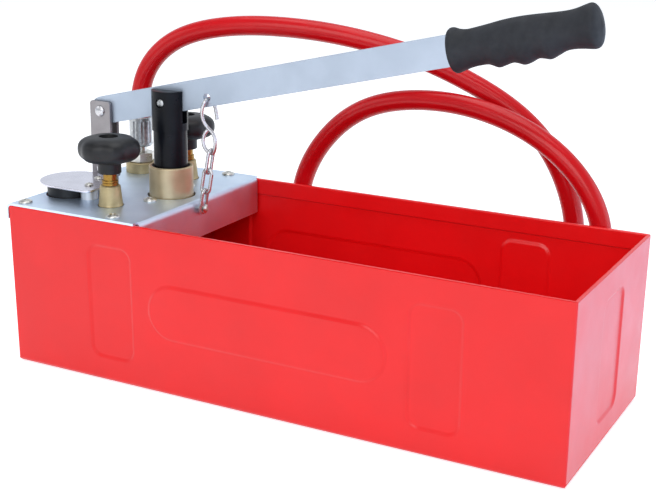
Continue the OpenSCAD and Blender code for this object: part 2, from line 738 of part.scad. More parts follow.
module bourdon_tube() color("goldenrod") gauge_place(gauge_z0 + 5.6) {
    rotate([0, 0, -90]) rotate_extrude(angle = 270) translate([12, 0]) square([2.4, 6]);
    rotate([0, 0, -90]) translate([3, 0, 0]) cube([11.4, 4, 3]);
}

module gauge_dial() color("white") gauge_place(dial_z) ring(gauge_r - 1.6, 0.8 + fit, 0.8);

module gauge_pointer() color("#1c1c1e") gauge_place(dial_z) {
    translate([0, 0, -6]) cylinder(r = 0.8, h = 8.6);
    translate([0, 0, 1.6]) cylinder(r = 2.2, h = 1.2);
    rotate([0, 0, 225]) translate([-4, -0.7, 1.7]) cube([gauge_r - 1, 1.4, 0.6]);
}

module gauge_lens() color("lightblue") gauge_place(gauge_top - 3) cylinder(r = gauge_r - 1.6, h = 2);

// The guard's outline: a round end over the dial, and a tail to its pivot
module guard_outline() {
    front_r = 8;
    back_r = 5;
    front_y = guard_at[1] - guard_r;
    front = [guard_right - front_r, front_y + front_r];
    back = [guard_right - back_r, guard_at[1] - 2];
    between = back - guard_at;
    a = atan2(between[1], between[0]) + acos((guard_r - back_r) / norm(between));
    edge = [cos(a), sin(a)];
    translate(guard_at) circle(guard_r);
    translate(front) circle(front_r);
    translate(back) circle(back_r);
    polygon([
        guard_at, [guard_at[0], front_y], [front[0], front_y], [guard_right, front[1]],
        [guard_right, back[1]], back + back_r * edge, guard_at + guard_r * edge
    ]);
}

module gauge_guard() color("lightsteelblue") {
    reach = guard_stop - guard_pivot;
    reach_r = norm(reach);
    reach_a = atan2(reach[1], reach[0]);
    slot_half = 2.4;
    difference() {
        translate([0, 0, guard_z0]) linear_extrude(guard_t) guard_outline();
        translate([guard_pivot[0], guard_pivot[1], guard_z0 - 1]) cylinder(r = 2 + fit, h = 10);
        translate([guard_stop[0], guard_stop[1], guard_z0 - 1]) cylinder(r = slot_half, h = 10);
        translate([guard_pivot[0], guard_pivot[1], guard_z0 - 1]) rotate([0, 0, reach_a - 50])
            rotate_extrude(angle = 50) translate([reach_r - slot_half, 0]) square([2 * slot_half, 10]);
    }
}

module guard_posts() color("silver") {
    translate([guard_pivot[0], guard_pivot[1], plate_top]) ring(6.5, 2 + seat, guard_z0 - plate_top - 0.1);
    translate([guard_stop[0], guard_stop[1], plate_top]) ring(3.6, 2 + seat, guard_z0 - plate_top - 0.1);
}

module guard_screws() color("silver")
    for (at = [guard_pivot, guard_stop])
        translate([at[0], at[1], guard_z0 + guard_t + 0.1]) dome_screw(4, 16, 8, 2);

module outlet_place(z) translate([outlet_at[0], outlet_at[1], z]) children();

module outlet_collar() color("goldenrod") outlet_place(0) difference() {
    union() {
        translate([0, 0, tank_h - 8]) cylinder(r = 10, h = 20);
        rotate_extrude() polygon([
            [0, plate_top], [15, plate_top], [15, outlet_z - 1], [14, outlet_z], [0, outlet_z]
        ]);
    }
    translate([0, 0, tank_h - 9]) cylinder(r = 4, h = 60);
}

module outlet_nut() color("silver") outlet_place(outlet_z) hex_nut(outlet_nut_af, 9, 3.8 + seat);

module hose_nipple() color("silver") outlet_place(outlet_z) difference() {
    union() {
        cylinder(r = 3.8, h = ferrule_z0 + ferrule_l - 4 - outlet_z);
        translate([0, 0, 9]) cylinder(r = 5.5, h = ferrule_z0 - outlet_z - 9);
    }
    translate([0, 0, -1]) cylinder(r = 2.2, h = 60);
}

module hose_ferrule() color("silver")
    outlet_place(ferrule_z0) crimped_sleeve(ferrule_r, ferrule_l, 3.8 + seat);

module hose() color("firebrick") sweep(smooth(hose_points, 2), hose_d / 2, 12, [0, 1, 0]);

// Puts a fitting on the hose's far end, with z away from the hose
module hose_far_end() translate([end_x, end_y, end_z]) rotate([0, -90, 0]) children();

module end_ferrule() color("silver") hose_far_end()
    translate([0, 0, ferrule_l]) mirror([0, 0, 1]) crimped_sleeve(ferrule_r, ferrule_l, 3.8 + seat);

module end_nipple() color("silver") hose_far_end() difference() {
    union() {
        translate([0, 0, 4]) cylinder(r = 3.8, h = ferrule_l);
        translate([0, 0, ferrule_l]) cylinder(r = 6, h = 12);
        translate([0, 0, ferrule_l + 10.1]) cylinder(r = 8.8, h = 3.8);
    }
    translate([0, 0, 3]) cylinder(r = 2.2, h = 60);
}

module end_nut() color("silver") hose_far_end() translate([0, 0, ferrule_l + 4]) difference() {
    rotate([0, 0, 30]) hex(end_nut_af, end_nut_l);
    translate([0, 0, -1]) cylinder(r = 6 + seat, h = 20);
    translate([0, 0, 6]) cylinder(r = 9, h = 10);
    translate([0, 0, 10]) cylinder(r = end_bore_r, h = end_nut_l);
}

// The hook runs through the lever, down its front and round into an eye
module s_hook() color("silver") translate([hook_x, 0, hook_top]) sweep(
    smooth([
        [4.2, 6.5, -19], [3, 6.5, -10], [0.8, 6.3, -3], [0, 4, 0], [0, 0, 0], [0, -4, 0],
        [-1, -6.4, -3], [-3.6, -6.5, -11], [-3.4, -5, -19], [-0.6, -2, -25.5],
        [eye_x + 3.1, -0.3, -29.5], [eye_x + 4.8, 0.2, -36], [eye_x + 4.1, 0.6, -44],
        [eye_x + 2.1, 0.9, -48], [eye_x, 1, -48.6], [eye_x - 2.1, 1.1, -48],
        [eye_x - 4.4, 1.4, -44], [eye_x - 4.9, 1.8, -37], [eye_x - 3.9, 2.6, -31],
        [eye_x - 0.7, 3.3, -27.5]
    ], 3),
    hook_wire_r, 10, [1, 0, 0]
);

// A link that stands upright in the XZ plane round the origin
module chain_link() {
    straight = link_cc / 2 - link_half_w;
    loop = [
        for (a = [0:15:180]) [link_half_w * cos(a), 0, straight + link_half_w * sin(a)],
        for (a = [180:15:360]) [link_half_w * cos(a), 0, -straight + link_half_w * sin(a)]
    ];
    sweep(loop, link_wire_r, 10, [0, 1, 0], closed = true);
}

module chain_links() color("silver") translate(link_top) rotate([link_side, link_lean, 0])
    for (i = [0:2])
        translate([0, 0, -link_cc / 2 - i * (link_cc - link_gap)]) rotate([0, 0, i == 1 ? 0 : 90]) chain_link();

module chain_anchor() color("silver") translate([plate_x1 + anchor_l, anchor_y, anchor_z]) rotate([0, 90, 0])
    dome_screw(2 * anchor_r, anchor_l + plate_t + 4.5, 8, 1.6);

module anchor_nut() color("silver") translate([plate_x1 - plate_t - 4, anchor_y, anchor_z]) rotate([0, 90, 0])
    hex_nut(8, 4, anchor_r + seat);

tank();
cover_plate();
plate_screws();
plate_nuts();
pump_body();
body_screws();
cylinder_barrel();
cylinder_collar();
guide_bush();
rod_seal();
wiper_ring();
suction_valve_body();
suction_ball();
suction_spring();
strainer();
delivery_ball();
delivery_spring();
strap_lug();
lug_screws();
strap_front();
strap_rear();
strap_pin();
fulcrum_pin();
lever();
grip();
piston();
piston_pin();
bonnet_front();
bonnet_rear();
gland_nuts();
spindle_seals();
spindle_front();
spindle_rear();
knob_front();
knob_rear();
knob_screw_front();
knob_screw_rear();
gauge_case();
gauge_stem();
bourdon_tube();
gauge_dial();
gauge_pointer();
gauge_lens();
gauge_guard();
guard_posts();
guard_screws();
outlet_collar();
outlet_nut();
hose_nipple();
hose_ferrule();
hose();
end_ferrule();
end_nipple();
end_nut();
s_hook();
chain_links();
chain_anchor();
anchor_nut();
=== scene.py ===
"""Hydrostatic test pump: the looks of its pieces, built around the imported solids."""
import math

import bmesh
import bpy
from mathutils import Matrix, Vector


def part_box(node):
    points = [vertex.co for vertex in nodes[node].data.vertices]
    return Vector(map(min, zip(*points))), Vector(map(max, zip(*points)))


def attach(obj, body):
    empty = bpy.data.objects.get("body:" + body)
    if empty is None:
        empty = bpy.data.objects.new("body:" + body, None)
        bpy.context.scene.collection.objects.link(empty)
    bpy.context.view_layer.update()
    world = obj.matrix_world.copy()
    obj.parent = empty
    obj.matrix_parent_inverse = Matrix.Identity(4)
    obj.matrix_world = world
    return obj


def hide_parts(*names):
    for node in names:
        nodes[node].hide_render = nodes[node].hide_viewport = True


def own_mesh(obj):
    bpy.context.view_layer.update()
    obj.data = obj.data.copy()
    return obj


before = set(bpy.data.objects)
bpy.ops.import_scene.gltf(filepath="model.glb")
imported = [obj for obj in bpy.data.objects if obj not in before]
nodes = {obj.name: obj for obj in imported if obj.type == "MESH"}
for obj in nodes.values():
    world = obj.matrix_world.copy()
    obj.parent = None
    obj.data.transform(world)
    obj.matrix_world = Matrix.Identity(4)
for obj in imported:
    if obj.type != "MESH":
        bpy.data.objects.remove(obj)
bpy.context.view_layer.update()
scene = bpy.context.scene
MM = 0.001


# The camera and the hose

VIEW_YAW = math.radians(27.78)
VIEW_PITCH = math.radians(16.68)
VIEW_ROLL = math.radians(0.86)
VIEW_PLACE = Vector((490.55, -917.34, 431.87))
VIEW_SENSOR_W = 36
VIEW_LENS = 70.12


def place_camera():
    """The photograph's camera, solved from the tank's corners."""
    flat = math.cos(VIEW_PITCH)
    back = Vector((math.sin(VIEW_YAW) * flat, -math.cos(VIEW_YAW) * flat, math.sin(VIEW_PITCH)))
    level = (-back).cross(Vector((0, 0, 1))).normalized()
    rise = level.cross(-back)
    across = level * math.cos(VIEW_ROLL) + rise * math.sin(VIEW_ROLL)
    up = rise * math.cos(VIEW_ROLL) - level * math.sin(VIEW_ROLL)
    data = bpy.data.cameras.new("camera")
    data.sensor_fit = "HORIZONTAL"
    data.sensor_width = VIEW_SENSOR_W
    data.lens = VIEW_LENS
    camera = bpy.data.objects.new("camera", data)
    scene.collection.objects.link(camera)
    turn = Matrix((across, up, back)).transposed().to_4x4()
    camera.matrix_world = Matrix.Translation(VIEW_PLACE * MM) @ turn
    scene.camera = camera


def smooth(points, steps):
    """A smooth curve that leans towards its points, a cubic spline, from the first one to the last."""
    p = [Vector(point) for point in points]
    p = [2 * p[0] - p[1], *p, 2 * p[-1] - p[-2]]
    line = []
    for i in range(len(p) - 3):
        for k in range(steps):
            t = k / steps
            line.append((
                (1 - t) ** 3 * p[i] + (3 * t ** 3 - 6 * t ** 2 + 4) * p[i + 1]
                + (-3 * t ** 3 + 3 * t ** 2 + 3 * t + 1) * p[i + 2] + t ** 3 * p[i + 3]
            ) / 6)
    line.append(p[-2])
    return line


def wire(name, line, radius, closed=False, fineness=6):
    """A round bar along a line, in mm, with more sides the higher its fineness is."""
    data = bpy.data.curves.new(name, "CURVE")
    data.dimensions = "3D"
    data.bevel_depth = radius * MM
    data.bevel_resolution = fineness
    data.use_fill_caps = not closed
    spline = data.splines.new("POLY")
    spline.points.add(len(line) - 1)
    for point, place in zip(spline.points, line):
        point.co = (*(place * MM), 1)
    spline.use_cyclic_u = closed
    piece = bpy.data.objects.new(name, data)
    scene.collection.objects.link(piece)
    return piece


HOSE_R = 9
HOSE_STEPS = 12
# From the outlet over the tank, round behind it, up and over once more, and down to the floor
HOSE_ROUTE = [
    (-228, 60, 200), (-228, 60, 206), (-228, 60, 219),
    (-223, 61, 241), (-210, 64, 261), (-190, 68, 276), (-165, 72, 285),
    (-137, 78, 290), (-104, 85, 292), (-58, 95, 290), (-12, 105, 283),
    (34, 116, 271), (76, 126, 253), (115, 134, 232), (147, 140, 204),
    (168, 144, 166), (178, 148, 124), (173, 151, 86), (152, 153, 53),
    (122, 154, 28), (84, 154, 13), (40, 151, 10.5), (-4, 146, 14),
    (-44, 138, 30), (-74, 127, 60), (-87, 117, 100), (-82, 112, 147),
    (-58, 112, 190), (-19, 112, 223), (32, 112, 235), (86, 112, 234),
    (137, 112, 220), (180, 112, 193), (208, 112, 155), (214, 112, 114),
    (197, 112, 76), (168, 112, 45), (130, 112, 24),
    (90, 112, 13.5), (56, 112, 13.5), (50, 112, 13.5),
]

place_camera()
hose_line = smooth(HOSE_ROUTE, HOSE_STEPS)
hose = wire("hose_red", hose_line, HOSE_R, fineness=10)


# Materials

EVEN = (1, 1, 1)
METAL = {"Metallic": 1.0}
# The stretch of a noise over which a finish goes from one tone, or one roughness, to the other
TONE_SPAN = (0.36, 0.64)
ROUGH_SPAN = (0.3, 0.7)


def paint(code):
    """An sRGB hex colour as linear light."""
    parts = [int(code[i:i + 2], 16) / 255 for i in (1, 3, 5)]
    return (*[c / 12.92 if c <= 0.04045 else ((c + 0.055) / 1.055) ** 2.4 for c in parts], 1)


def add_node(tree, kind, settings=None, links=None):
    """Adds a shader node, sets its sockets and options by name, and links what feeds it."""
    node = tree.nodes.new("ShaderNode" + kind)
    for name, value in (settings or {}).items():
        if name == "stops":
            for stop, (place, colour) in zip(node.color_ramp.elements, value):
                stop.position = place
                stop.color = colour
        elif name in node.inputs:
            node.inputs[name].default_value = value
        else:
            setattr(node, name, value)
    for name, source in (links or {}).items():
        tree.links.new(source, node.inputs[name])
    return node


def surface(name, tones, tone_mm, rough, rough_mm, reliefs, sockets):
    """A finish: two tones that drift into each other, a roughness that drifts between two values,
    and reliefs, each with its grain size and depth in mm and how far it is drawn out each way."""
    material = bpy.data.materials.new(name)
    material.use_nodes = True
    tree = material.node_tree
    shader = tree.nodes["Principled BSDF"]
    for socket, value in sockets.items():
        shader.inputs[socket].default_value = value
    place = add_node(tree, "TexCoord").outputs["Object"]
    drift = add_node(tree, "TexNoise", {"Scale": 1 / (tone_mm * MM), "Detail": 5.0}, {"Vector": place})
    stops = list(zip(TONE_SPAN, map(paint, tones)))
    tone = add_node(tree, "ValToRGB", {"stops": stops}, {"Fac": drift.outputs["Fac"]})
    tree.links.new(tone.outputs["Color"], shader.inputs["Base Color"])
    smear = add_node(tree, "TexNoise", {"Scale": 1 / (rough_mm * MM), "Detail": 3.0}, {"Vector": place})
    polish = add_node(
        tree, "MapRange",
        {"From Min": ROUGH_SPAN[0], "From Max": ROUGH_SPAN[1], "To Min": rough[0], "To Max": rough[1]},
        {"Value": smear.outputs["Fac"]}
    )
    tree.links.new(polish.outputs["Result"], shader.inputs["Roughness"])
    normal = None
    for grain_mm, depth_mm, drawn in reliefs:
        spread = add_node(tree, "Mapping", {"Scale": tuple(1 / d for d in drawn)}, {"Vector": place})
        grain = add_node(
            tree, "TexNoise", {"Scale": 1 / (grain_mm * MM), "Detail": 2.0},
            {"Vector": spread.outputs["Vector"]}
        )
        feeds = {"Height": grain.outputs["Fac"]}
        if normal:
            feeds["Normal"] = normal
        relief = add_node(tree, "Bump", {"Strength": 1.0, "Distance": depth_mm * MM}, feeds)
        normal = relief.outputs["Normal"]
    tree.links.new(normal, shader.inputs["Normal"])
    return material


# Powder coat baked on sheet steel: a deep even red under a skin with the soft dimples of orange peel
red_powder_coat = surface(
    "red_powder_coat", ("#e60a10", "#ee0c13"), 70, (0.3, 0.36), 30,
    [(2.4, 0.012, EVEN), (0.7, 0.004, EVEN)],
    {"IOR": 1.5, "Coat Weight": 0.1, "Coat Roughness": 0.25}
)
# Zinc-plated rolled sheet: pale blue-grey and satin, with faint lines along the rolling
zinc_sheet = surface(
    "zinc_plated_sheet", ("#d2e2f4", "#dbeafa"), 30, (0.4, 0.47), 18,
    [(0.5, 0.003, (30, 1, 1)), (9, 0.01, EVEN)], METAL
)
# Zinc-plated flat bar: the same plating, with the lines of drawn stock along it
zinc_bar = surface(
    "zinc_plated_bar", ("#b3bfce", "#bcc8d7"), 40, (0.42, 0.5), 24,
    [(0.6, 0.004, (40, 1, 4))], METAL
)
# Bright zinc on turned and pressed small pieces: smooth, with a slight yellow cast from its rinse
bright_zinc = surface(
    "bright_zinc_plate", ("#cfcdc6", "#dad8d2"), 8, (0.26, 0.34), 5,
    [(1.5, 0.002, EVEN)], METAL
)
# Turned aluminium of the guard's posts: pale and satin under its oxide, with fine rings round it
satin_aluminium = surface(
    "turned_aluminium", ("#dfe1e6", "#e8eaee"), 8, (0.46, 0.54), 5,
    [(0.25, 0.003, (60, 60, 1))], {"Metallic": 0.8}
)
# Grey zinc on the crimped sleeves and the piston's pin: duller, with streaks up and down
grey_zinc = surface(
    "grey_zinc_plate", ("#a9acae", "#c9cccd"), 3, (0.34, 0.46), 4,
    [(0.6, 0.004, (1, 1, 12))], METAL
)
# Ground steel of the straps and their lug: warm grey and satin, with fine marks of the belt
satin_steel = surface(
    "ground_steel", ("#949092", "#9e9a9c"), 14, (0.36, 0.46), 8,
    [(0.35, 0.003, (1, 1, 25))], METAL
)
# Polished zinc on the guard: bright and smooth, with a faint lavender cast
polished_zinc = surface(
    "polished_zinc", ("#cdcbd5", "#d7d5df"), 20, (0.2, 0.28), 12,
    [(5.0, 0.004, EVEN)], METAL
)
# Bright-plated wire and pins: pale, a little milky, so not all metal, with the faint marks of drawing
bright_wire = surface(
    "bright_drawn_wire", ("#c8c8cc", "#d4d4d8"), 5, (0.2, 0.28), 5,
    [(0.4, 0.002, (1, 1, 12))], {"Metallic": 0.75}
)
# Sand-cast brass, tumbled: olive gold with a fine sandy skin, dulled, so not all metal
cast_brass = surface(
    "cast_brass", ("#b3a27a", "#c6b58b"), 9, (0.42, 0.52), 5,
    [(0.6, 0.012, EVEN), (3, 0.02, EVEN)], {"Metallic": 0.65}
)
# Brass casting below the plate: the same metal, dry, painted dark brown as painted shade for the dark gap
# under the plate
shade_dark_casting = surface(
    "shade_darkened_brass_casting", ("#4c4027", "#62532f"), 9, (0.55, 0.7), 6,
    [(0.7, 0.04, EVEN), (4, 0.06, EVEN)], METAL
)
# Turned brass of the collar: pale satin gold, dulled by handling, with the fine rings of the lathe
turned_brass = surface(
    "turned_brass", ("#bfae8d", "#cab997"), 14, (0.4, 0.48), 8,
    [(0.25, 0.003, (60, 60, 1))], {"Metallic": 0.65}
)
# Lacquered brass of the glands and spindles: deep amber gold, smoother
amber_brass = surface(
    "lacquered_brass", ("#947236", "#a68344"), 6, (0.24, 0.32), 4,
    [(0.25, 0.003, (60, 60, 1))], METAL
)
# Blacked and oiled steel: deep satin black with a cool sheen where the light runs along it
blacked_steel = surface(
    "blacked_steel", ("#0b0d13", "#11141b"), 14, (0.26, 0.34), 8,
    [(0.4, 0.003, (1, 1, 20))], {"IOR": 1.5, "Specular IOR Level": 0.15}
)
# Moulded phenolic plastic of the knobs: matte black with a very fine moulded grain
black_phenolic = surface(
    "moulded_phenolic", ("#0d0e12", "#131419"), 10, (0.42, 0.5), 6,
    [(0.5, 0.008, EVEN)], {"IOR": 1.5, "Specular IOR Level": 0.42}
)
# Soft vinyl of the grip: charcoal, dry, with a fine stipple from its mould
grip_vinyl = surface(
    "stippled_vinyl", ("#1c1f25", "#25282f"), 14, (0.62, 0.76), 6,
    [(0.7, 0.04, EVEN), (5, 0.06, EVEN)], {"IOR": 1.45}
)
# Extruded red hose: glossy and deep, with the faint waves of its braid
hose_vinyl = surface(
    "extruded_red_vinyl", ("#c40a14", "#ce0d18"), 40, (0.22, 0.28), 25,
    [(12, 0.008, EVEN)], {"IOR": 1.5, "Specular IOR Level": 0.34}
)
# Nitrile rubber of the seals: flat black
seal_rubber = surface(
    "nitrile_rubber", ("#0d0d0e", "#141415"), 5, (0.6, 0.75), 3,
    [(0.6, 0.01, EVEN)], {"IOR": 1.5}
)
# Enamelled dial: off-white with a silky print ground
dial_enamel = surface(
    "dial_enamel", ("#eceae3", "#f3f1ea"), 9, (0.4, 0.5), 5,
    [(0.6, 0.003, EVEN)], {"IOR": 1.5}
)
# Screen-printed dial ink: flat black
dial_ink = surface(
    "dial_ink", ("#101012", "#19191b"), 3, (0.5, 0.6), 2,
    [(0.3, 0.003, EVEN)], {"IOR": 1.5}
)
# Clear acrylic of the gauge's window: smooth, with the faintest haze
clear_acrylic = surface(
    "clear_acrylic", ("#f3f7f8", "#fafcfc"), 12, (0.02, 0.06), 6,
    [(4, 0.004, EVEN)], {"IOR": 1.49, "Transmission Weight": 1.0}
)

# The solids that stay as they are, which are small or lie inside
for finish, names in (
    # The pump's body and barrel take the dark brown painted shade of the gap under the plate
    (shade_dark_casting, "pump_body cylinder_barrel"),
    (turned_brass, "guide_bush suction_valve_body gauge_stem bourdon_tube"),
    (amber_brass, "spindle_front spindle_rear"),
    (bright_zinc, "plate_nuts anchor_nut end_nipple suction_ball delivery_ball"),
    (bright_wire, "suction_spring delivery_spring"),
    (seal_rubber, "rod_seal wiper_ring spindle_seals"),
    (black_phenolic, "strainer"),
    (dial_enamel, "gauge_dial"),
    (dial_ink, "gauge_pointer"),
    (clear_acrylic, "gauge_lens"),
):
    for name in names.split():
        nodes[name].data.materials.clear()
        nodes[name].data.materials.append(finish)

hose.data.materials.append(hose_vinyl)
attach(hose, "frame")
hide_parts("hose")


# Ways of working

# Points closer than this are one, in mm: on turned pieces and wire, on copies of solids, and on sheet
SEAM = 0.002
SOLID_SEAM = 0.005
SHEET_SEAM = 0.01
# How close counts as being at a place, in mm
NEAR = 0.1
# A hole of a smaller radius than this takes fewer sides, in mm
SMALL_HOLE = 3.5
# A turn sharper than this is an edge to ease
EDGE_TURN = math.radians(30)


def take(piece):
    """Makes one piece the selected and active one."""
    bpy.ops.object.select_all(action="DESELECT")
    piece.select_set(True)
    bpy.context.view_layer.objects.active = piece


def edit(piece, kind):
    """Opens a piece in edit mode, to select by vertex, edge or face, with nothing selected."""
    take(piece)
    bpy.ops.object.mode_set(mode="EDIT")
    bpy.ops.mesh.select_mode(type=kind)
    bpy.ops.mesh.select_all(action="DESELECT")


def take_all():
    """Selects all of the open piece."""
    bpy.ops.mesh.select_all(action="SELECT")


def close():
    """Leaves edit mode."""
    bpy.ops.object.mode_set(mode="OBJECT")


def pick(piece, kind, test):
    """Selects the open piece's faces or edges that pass a test, and no others."""
    bpy.ops.mesh.select_mode(type=kind)
    bpy.ops.mesh.select_all(action="DESELECT")
    mesh = bmesh.from_edit_mesh(piece.data)
    for part in mesh.faces if kind == "FACE" else mesh.edges:
        if test(part):
            part.select_set(True)
    bmesh.update_edit_mesh(piece.data)


def middle(face):
    """The middle of a face's corners, in mm."""
    return sum((v.co for v in face.verts), Vector()) / len(face.verts) / MM


def apply(piece, kind, settings):
    """Adds a modifier, sets it and applies it."""
    take(piece)
    modifier = piece.modifiers.new(kind.lower(), kind)
    for name, value in settings.items():
        setattr(modifier, name, value)
    bpy.ops.object.modifier_apply(modifier=modifier.name)


def cut(piece, tool, way):
    """Joins a tool to a piece, cuts it out or keeps what they share, and removes the tool."""
    apply(piece, "BOOLEAN", {"operation": way, "solver": "EXACT", "object": tool})
    bpy.data.objects.remove(tool)


def join(pieces):
    """Joins pieces into the first one."""
    take(pieces[0])
    for piece in pieces:
        piece.select_set(True)
    bpy.ops.object.join()
    return pieces[0]


def shade(piece, angle=35):
    """Smooth over its soft turns and crisp at its edges."""
    take(piece)
    bpy.ops.object.shade_smooth_by_angle(angle=math.radians(angle))


def ease(piece, width, steps=2):
    """Rounds the edges a little, as filing, tumbling or a mould leaves them."""
    apply(piece, "BEVEL", {
        "width": width * MM, "segments": steps, "limit_method": "ANGLE",
        "angle_limit": EDGE_TURN, "use_clamp_overlap": True,
    })


def fit_out(piece, name, body, finish, slot, *stands_for):
    """Lets a finished piece's flats take the light as flats, names it, gives it its finish, and puts
    it on its body in place of its solids."""
    apply(piece, "WEIGHTED_NORMAL", {"keep_sharp": True})
    piece.name = name
    piece.data.name = name
    piece.data.materials.clear()
    piece.data.materials.append(finish)
    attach(piece, body)
    if stands_for:
        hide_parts(*stands_for)
    return piece


def softened(node, width, steps):
    """A copy of a solid with its flat faces made whole and its edges eased."""
    piece = nodes[node].copy()
    piece.data = nodes[node].data.copy()
    for key in list(piece.keys()):
        del piece[key]
    piece.parent = None
    scene.collection.objects.link(piece)
    edit(piece, "VERT")
    take_all()
    bpy.ops.mesh.customdata_custom_splitnormals_clear()
    bpy.ops.mesh.remove_doubles(threshold=SOLID_SEAM * MM)
    bpy.ops.mesh.dissolve_limited(angle_limit=math.radians(0.5))
    close()
    ease(piece, width, steps)
    shade(piece)
    return piece


def rounded(profile, steps=4):
    """A profile in which each corner that names a radius is rounded: across, up, radius."""
    line = []
    for i, corner in enumerate(profile):
        here = Vector(corner[:2])
        if len(corner) < 3 or i in (0, len(profile) - 1):
            line.append(here)
            continue
        before = Vector(profile[i - 1][:2]) - here
        after = Vector(profile[i + 1][:2]) - here
        reach = corner[2] / math.tan(before.angle(after) / 2)
        reach = min(reach, 0.499 * before.length, 0.499 * after.length)
        start = here + before.normalized() * reach
        end = here + after.normalized() * reach
        for k in range(steps + 1):
            t = k / steps
            line.append((1 - t) ** 2 * start + 2 * t * (1 - t) * here + t ** 2 * end)
    return line


def turned(at, profile, steps=64):
    """A turned piece on an upright axis: its half profile spun round, in mm."""
    line = [Vector((p[0], 0, p[1])) * MM for p in profile]
    centre = Vector((at[0], at[1], 0)) * MM
    bpy.ops.mesh.primitive_plane_add(size=MM, location=centre)
    piece = bpy.context.object
    edit(piece, "VERT")
    take_all()
    bpy.ops.mesh.merge(type="CENTER")
    bpy.ops.transform.translate(value=line[0])
    for here, there in zip(line, line[1:]):
        bpy.ops.mesh.extrude_region_move(TRANSFORM_OT_translate={"value": there - here})
    take_all()
    bpy.ops.mesh.spin(steps=steps, angle=math.tau, center=centre, axis=(0, 0, 1))
    take_all()
    bpy.ops.mesh.remove_doubles(threshold=SEAM * MM)
    bpy.ops.mesh.normals_make_consistent(inside=False)
    close()
    bpy.ops.object.transform_apply()
    shade(piece)
    return piece


def swell(piece, at, change):
    """Moves a turned piece's points in or out, by their angle, radius and height."""
    for point in piece.data.vertices:
        x = point.co.x / MM - at[0]
        y = point.co.y / MM - at[1]
        radius = math.hypot(x, y)
        if radius < 0.01:
            continue
        share = 1 + change(math.atan2(y, x), radius, point.co.z / MM) / radius
        point.co.x = (at[0] + x * share) * MM
        point.co.y = (at[1] + y * share) * MM


def block(low, high):
    """A block between two corners, in mm, as a start or a tool."""
    low = Vector(low)
    high = Vector(high)
    bpy.ops.mesh.primitive_cube_add(size=1, location=(low + high) / 2 * MM)
    piece = bpy.context.object
    piece.scale = (high - low) * MM
    bpy.ops.object.transform_apply()
    return piece


def drill(at, radius, low, high):
    """An upright round tool for a hole."""
    bpy.ops.mesh.primitive_cylinder_add(
        vertices=24 if radius < SMALL_HOLE else 48, radius=radius * MM, depth=(high - low) * MM,
        location=Vector((at[0], at[1], (low + high) / 2)) * MM
    )
    bpy.ops.object.transform_apply()
    return bpy.context.object


# Sizes and places that several pieces share, in mm

TANK_L = 510
TANK_W = 198
TANK_H = 145
PLATE_T = 2
PLATE_TOP = TANK_H + PLATE_T
COLLAR_AT = (-152, 0)
VALVES = {"front": (-175, -58.5), "rear": (-175, 58.5)}
OUTLET = (-228, 60)
GAUGE = (-231, -44)
GUARD_POSTS = [(-204, -51), (-212, -27)]
PLATE_SCREWS = [(x, y) for x in (-243, -149) for y in (-90, 90)]
BODY_SCREWS = [(-154, -30), (-154, 30)]
LUG_SCREWS = [(-230.2, -14), (-217.8, -14)]
M4_HOLE = 2.1
M5_HOLE = 2.7
M5_LOOSE_HOLE = 3.2


# The tank

SHEET = 1.5
SIDE_TAPER = 3
WALL_LEAN = math.atan(SIDE_TAPER / TANK_H)
FLOOR_BEND = 4
CORNER_BEND = 1.6
HEM = 14
HEM_FOLD = 1.7
HEM_GAP = 1.1
HEM_GROOVE = 0.7
RIM_ROUND = 1.1
TAB_HALF_W = 9
TAB_INNER = 81
TAB_OUTER = TANK_W / 2 - 2.5
TAB_T = 2
# Width, height and corner radius of the pressed panels
LONG_PANEL = (222, 51, 25.3)
UPRIGHT_PANEL = (47, TANK_H - 41, 12)
END_PANEL = (56, TANK_H - 41, 12)
LONG_PANEL_UP = 2
UPRIGHT_ASIDE = 149
# Each panel's size, its place along and up its wall, and the turn to that wall
RAISED_PANELS = [(LONG_PANEL, 0, LONG_PANEL_UP, turn) for turn in (0, 180)]
SUNK_PANELS = [
    (UPRIGHT_PANEL, across, 0, turn) for turn in (0, 180) for across in (-UPRIGHT_ASIDE, UPRIGHT_ASIDE)
]
SUNK_PANELS += [(END_PANEL, 0, 0, turn) for turn in (90, -90)]
# How far in and how far up each step of a panel's soft edge goes
PANEL_EDGE = ((0.7, 0.1), (0.7, 0.3), (0.6, 0.35), (0.6, 0.35), (0.7, 0.3), (0.7, 0.1))
# How far a panel's solid is rooted in the sheet, and how far its tool reaches through it
PANEL_ROOT = 0.7
PANEL_CUT = 3


def pressed_panel(width, height, corner, reach):
    """A pressed panel as a solid, face up: a soft step up to its flat, on a plug that reaches down."""
    bpy.ops.mesh.primitive_plane_add(size=1)
    piece = bpy.context.object
    piece.scale = (width * MM, height * MM, 1)
    bpy.ops.object.transform_apply()
    edit(piece, "VERT")
    take_all()
    bpy.ops.mesh.bevel(offset=corner * MM, segments=12, affect="VERTICES", clamp_overlap=True)
    bpy.ops.mesh.select_mode(type="FACE")
    take_all()
    for across, up in PANEL_EDGE:
        bpy.ops.mesh.inset(thickness=across * MM, depth=up * MM, use_even_offset=True)
    bpy.ops.mesh.select_mode(type="EDGE")
    bpy.ops.mesh.select_non_manifold(extend=False)
    bpy.ops.mesh.extrude_region_move(TRANSFORM_OT_translate={"value": (0, 0, -reach * MM)})
    bpy.ops.mesh.edge_face_add()
    take_all()
    bpy.ops.mesh.normals_make_consistent(inside=False)
    close()
    return piece


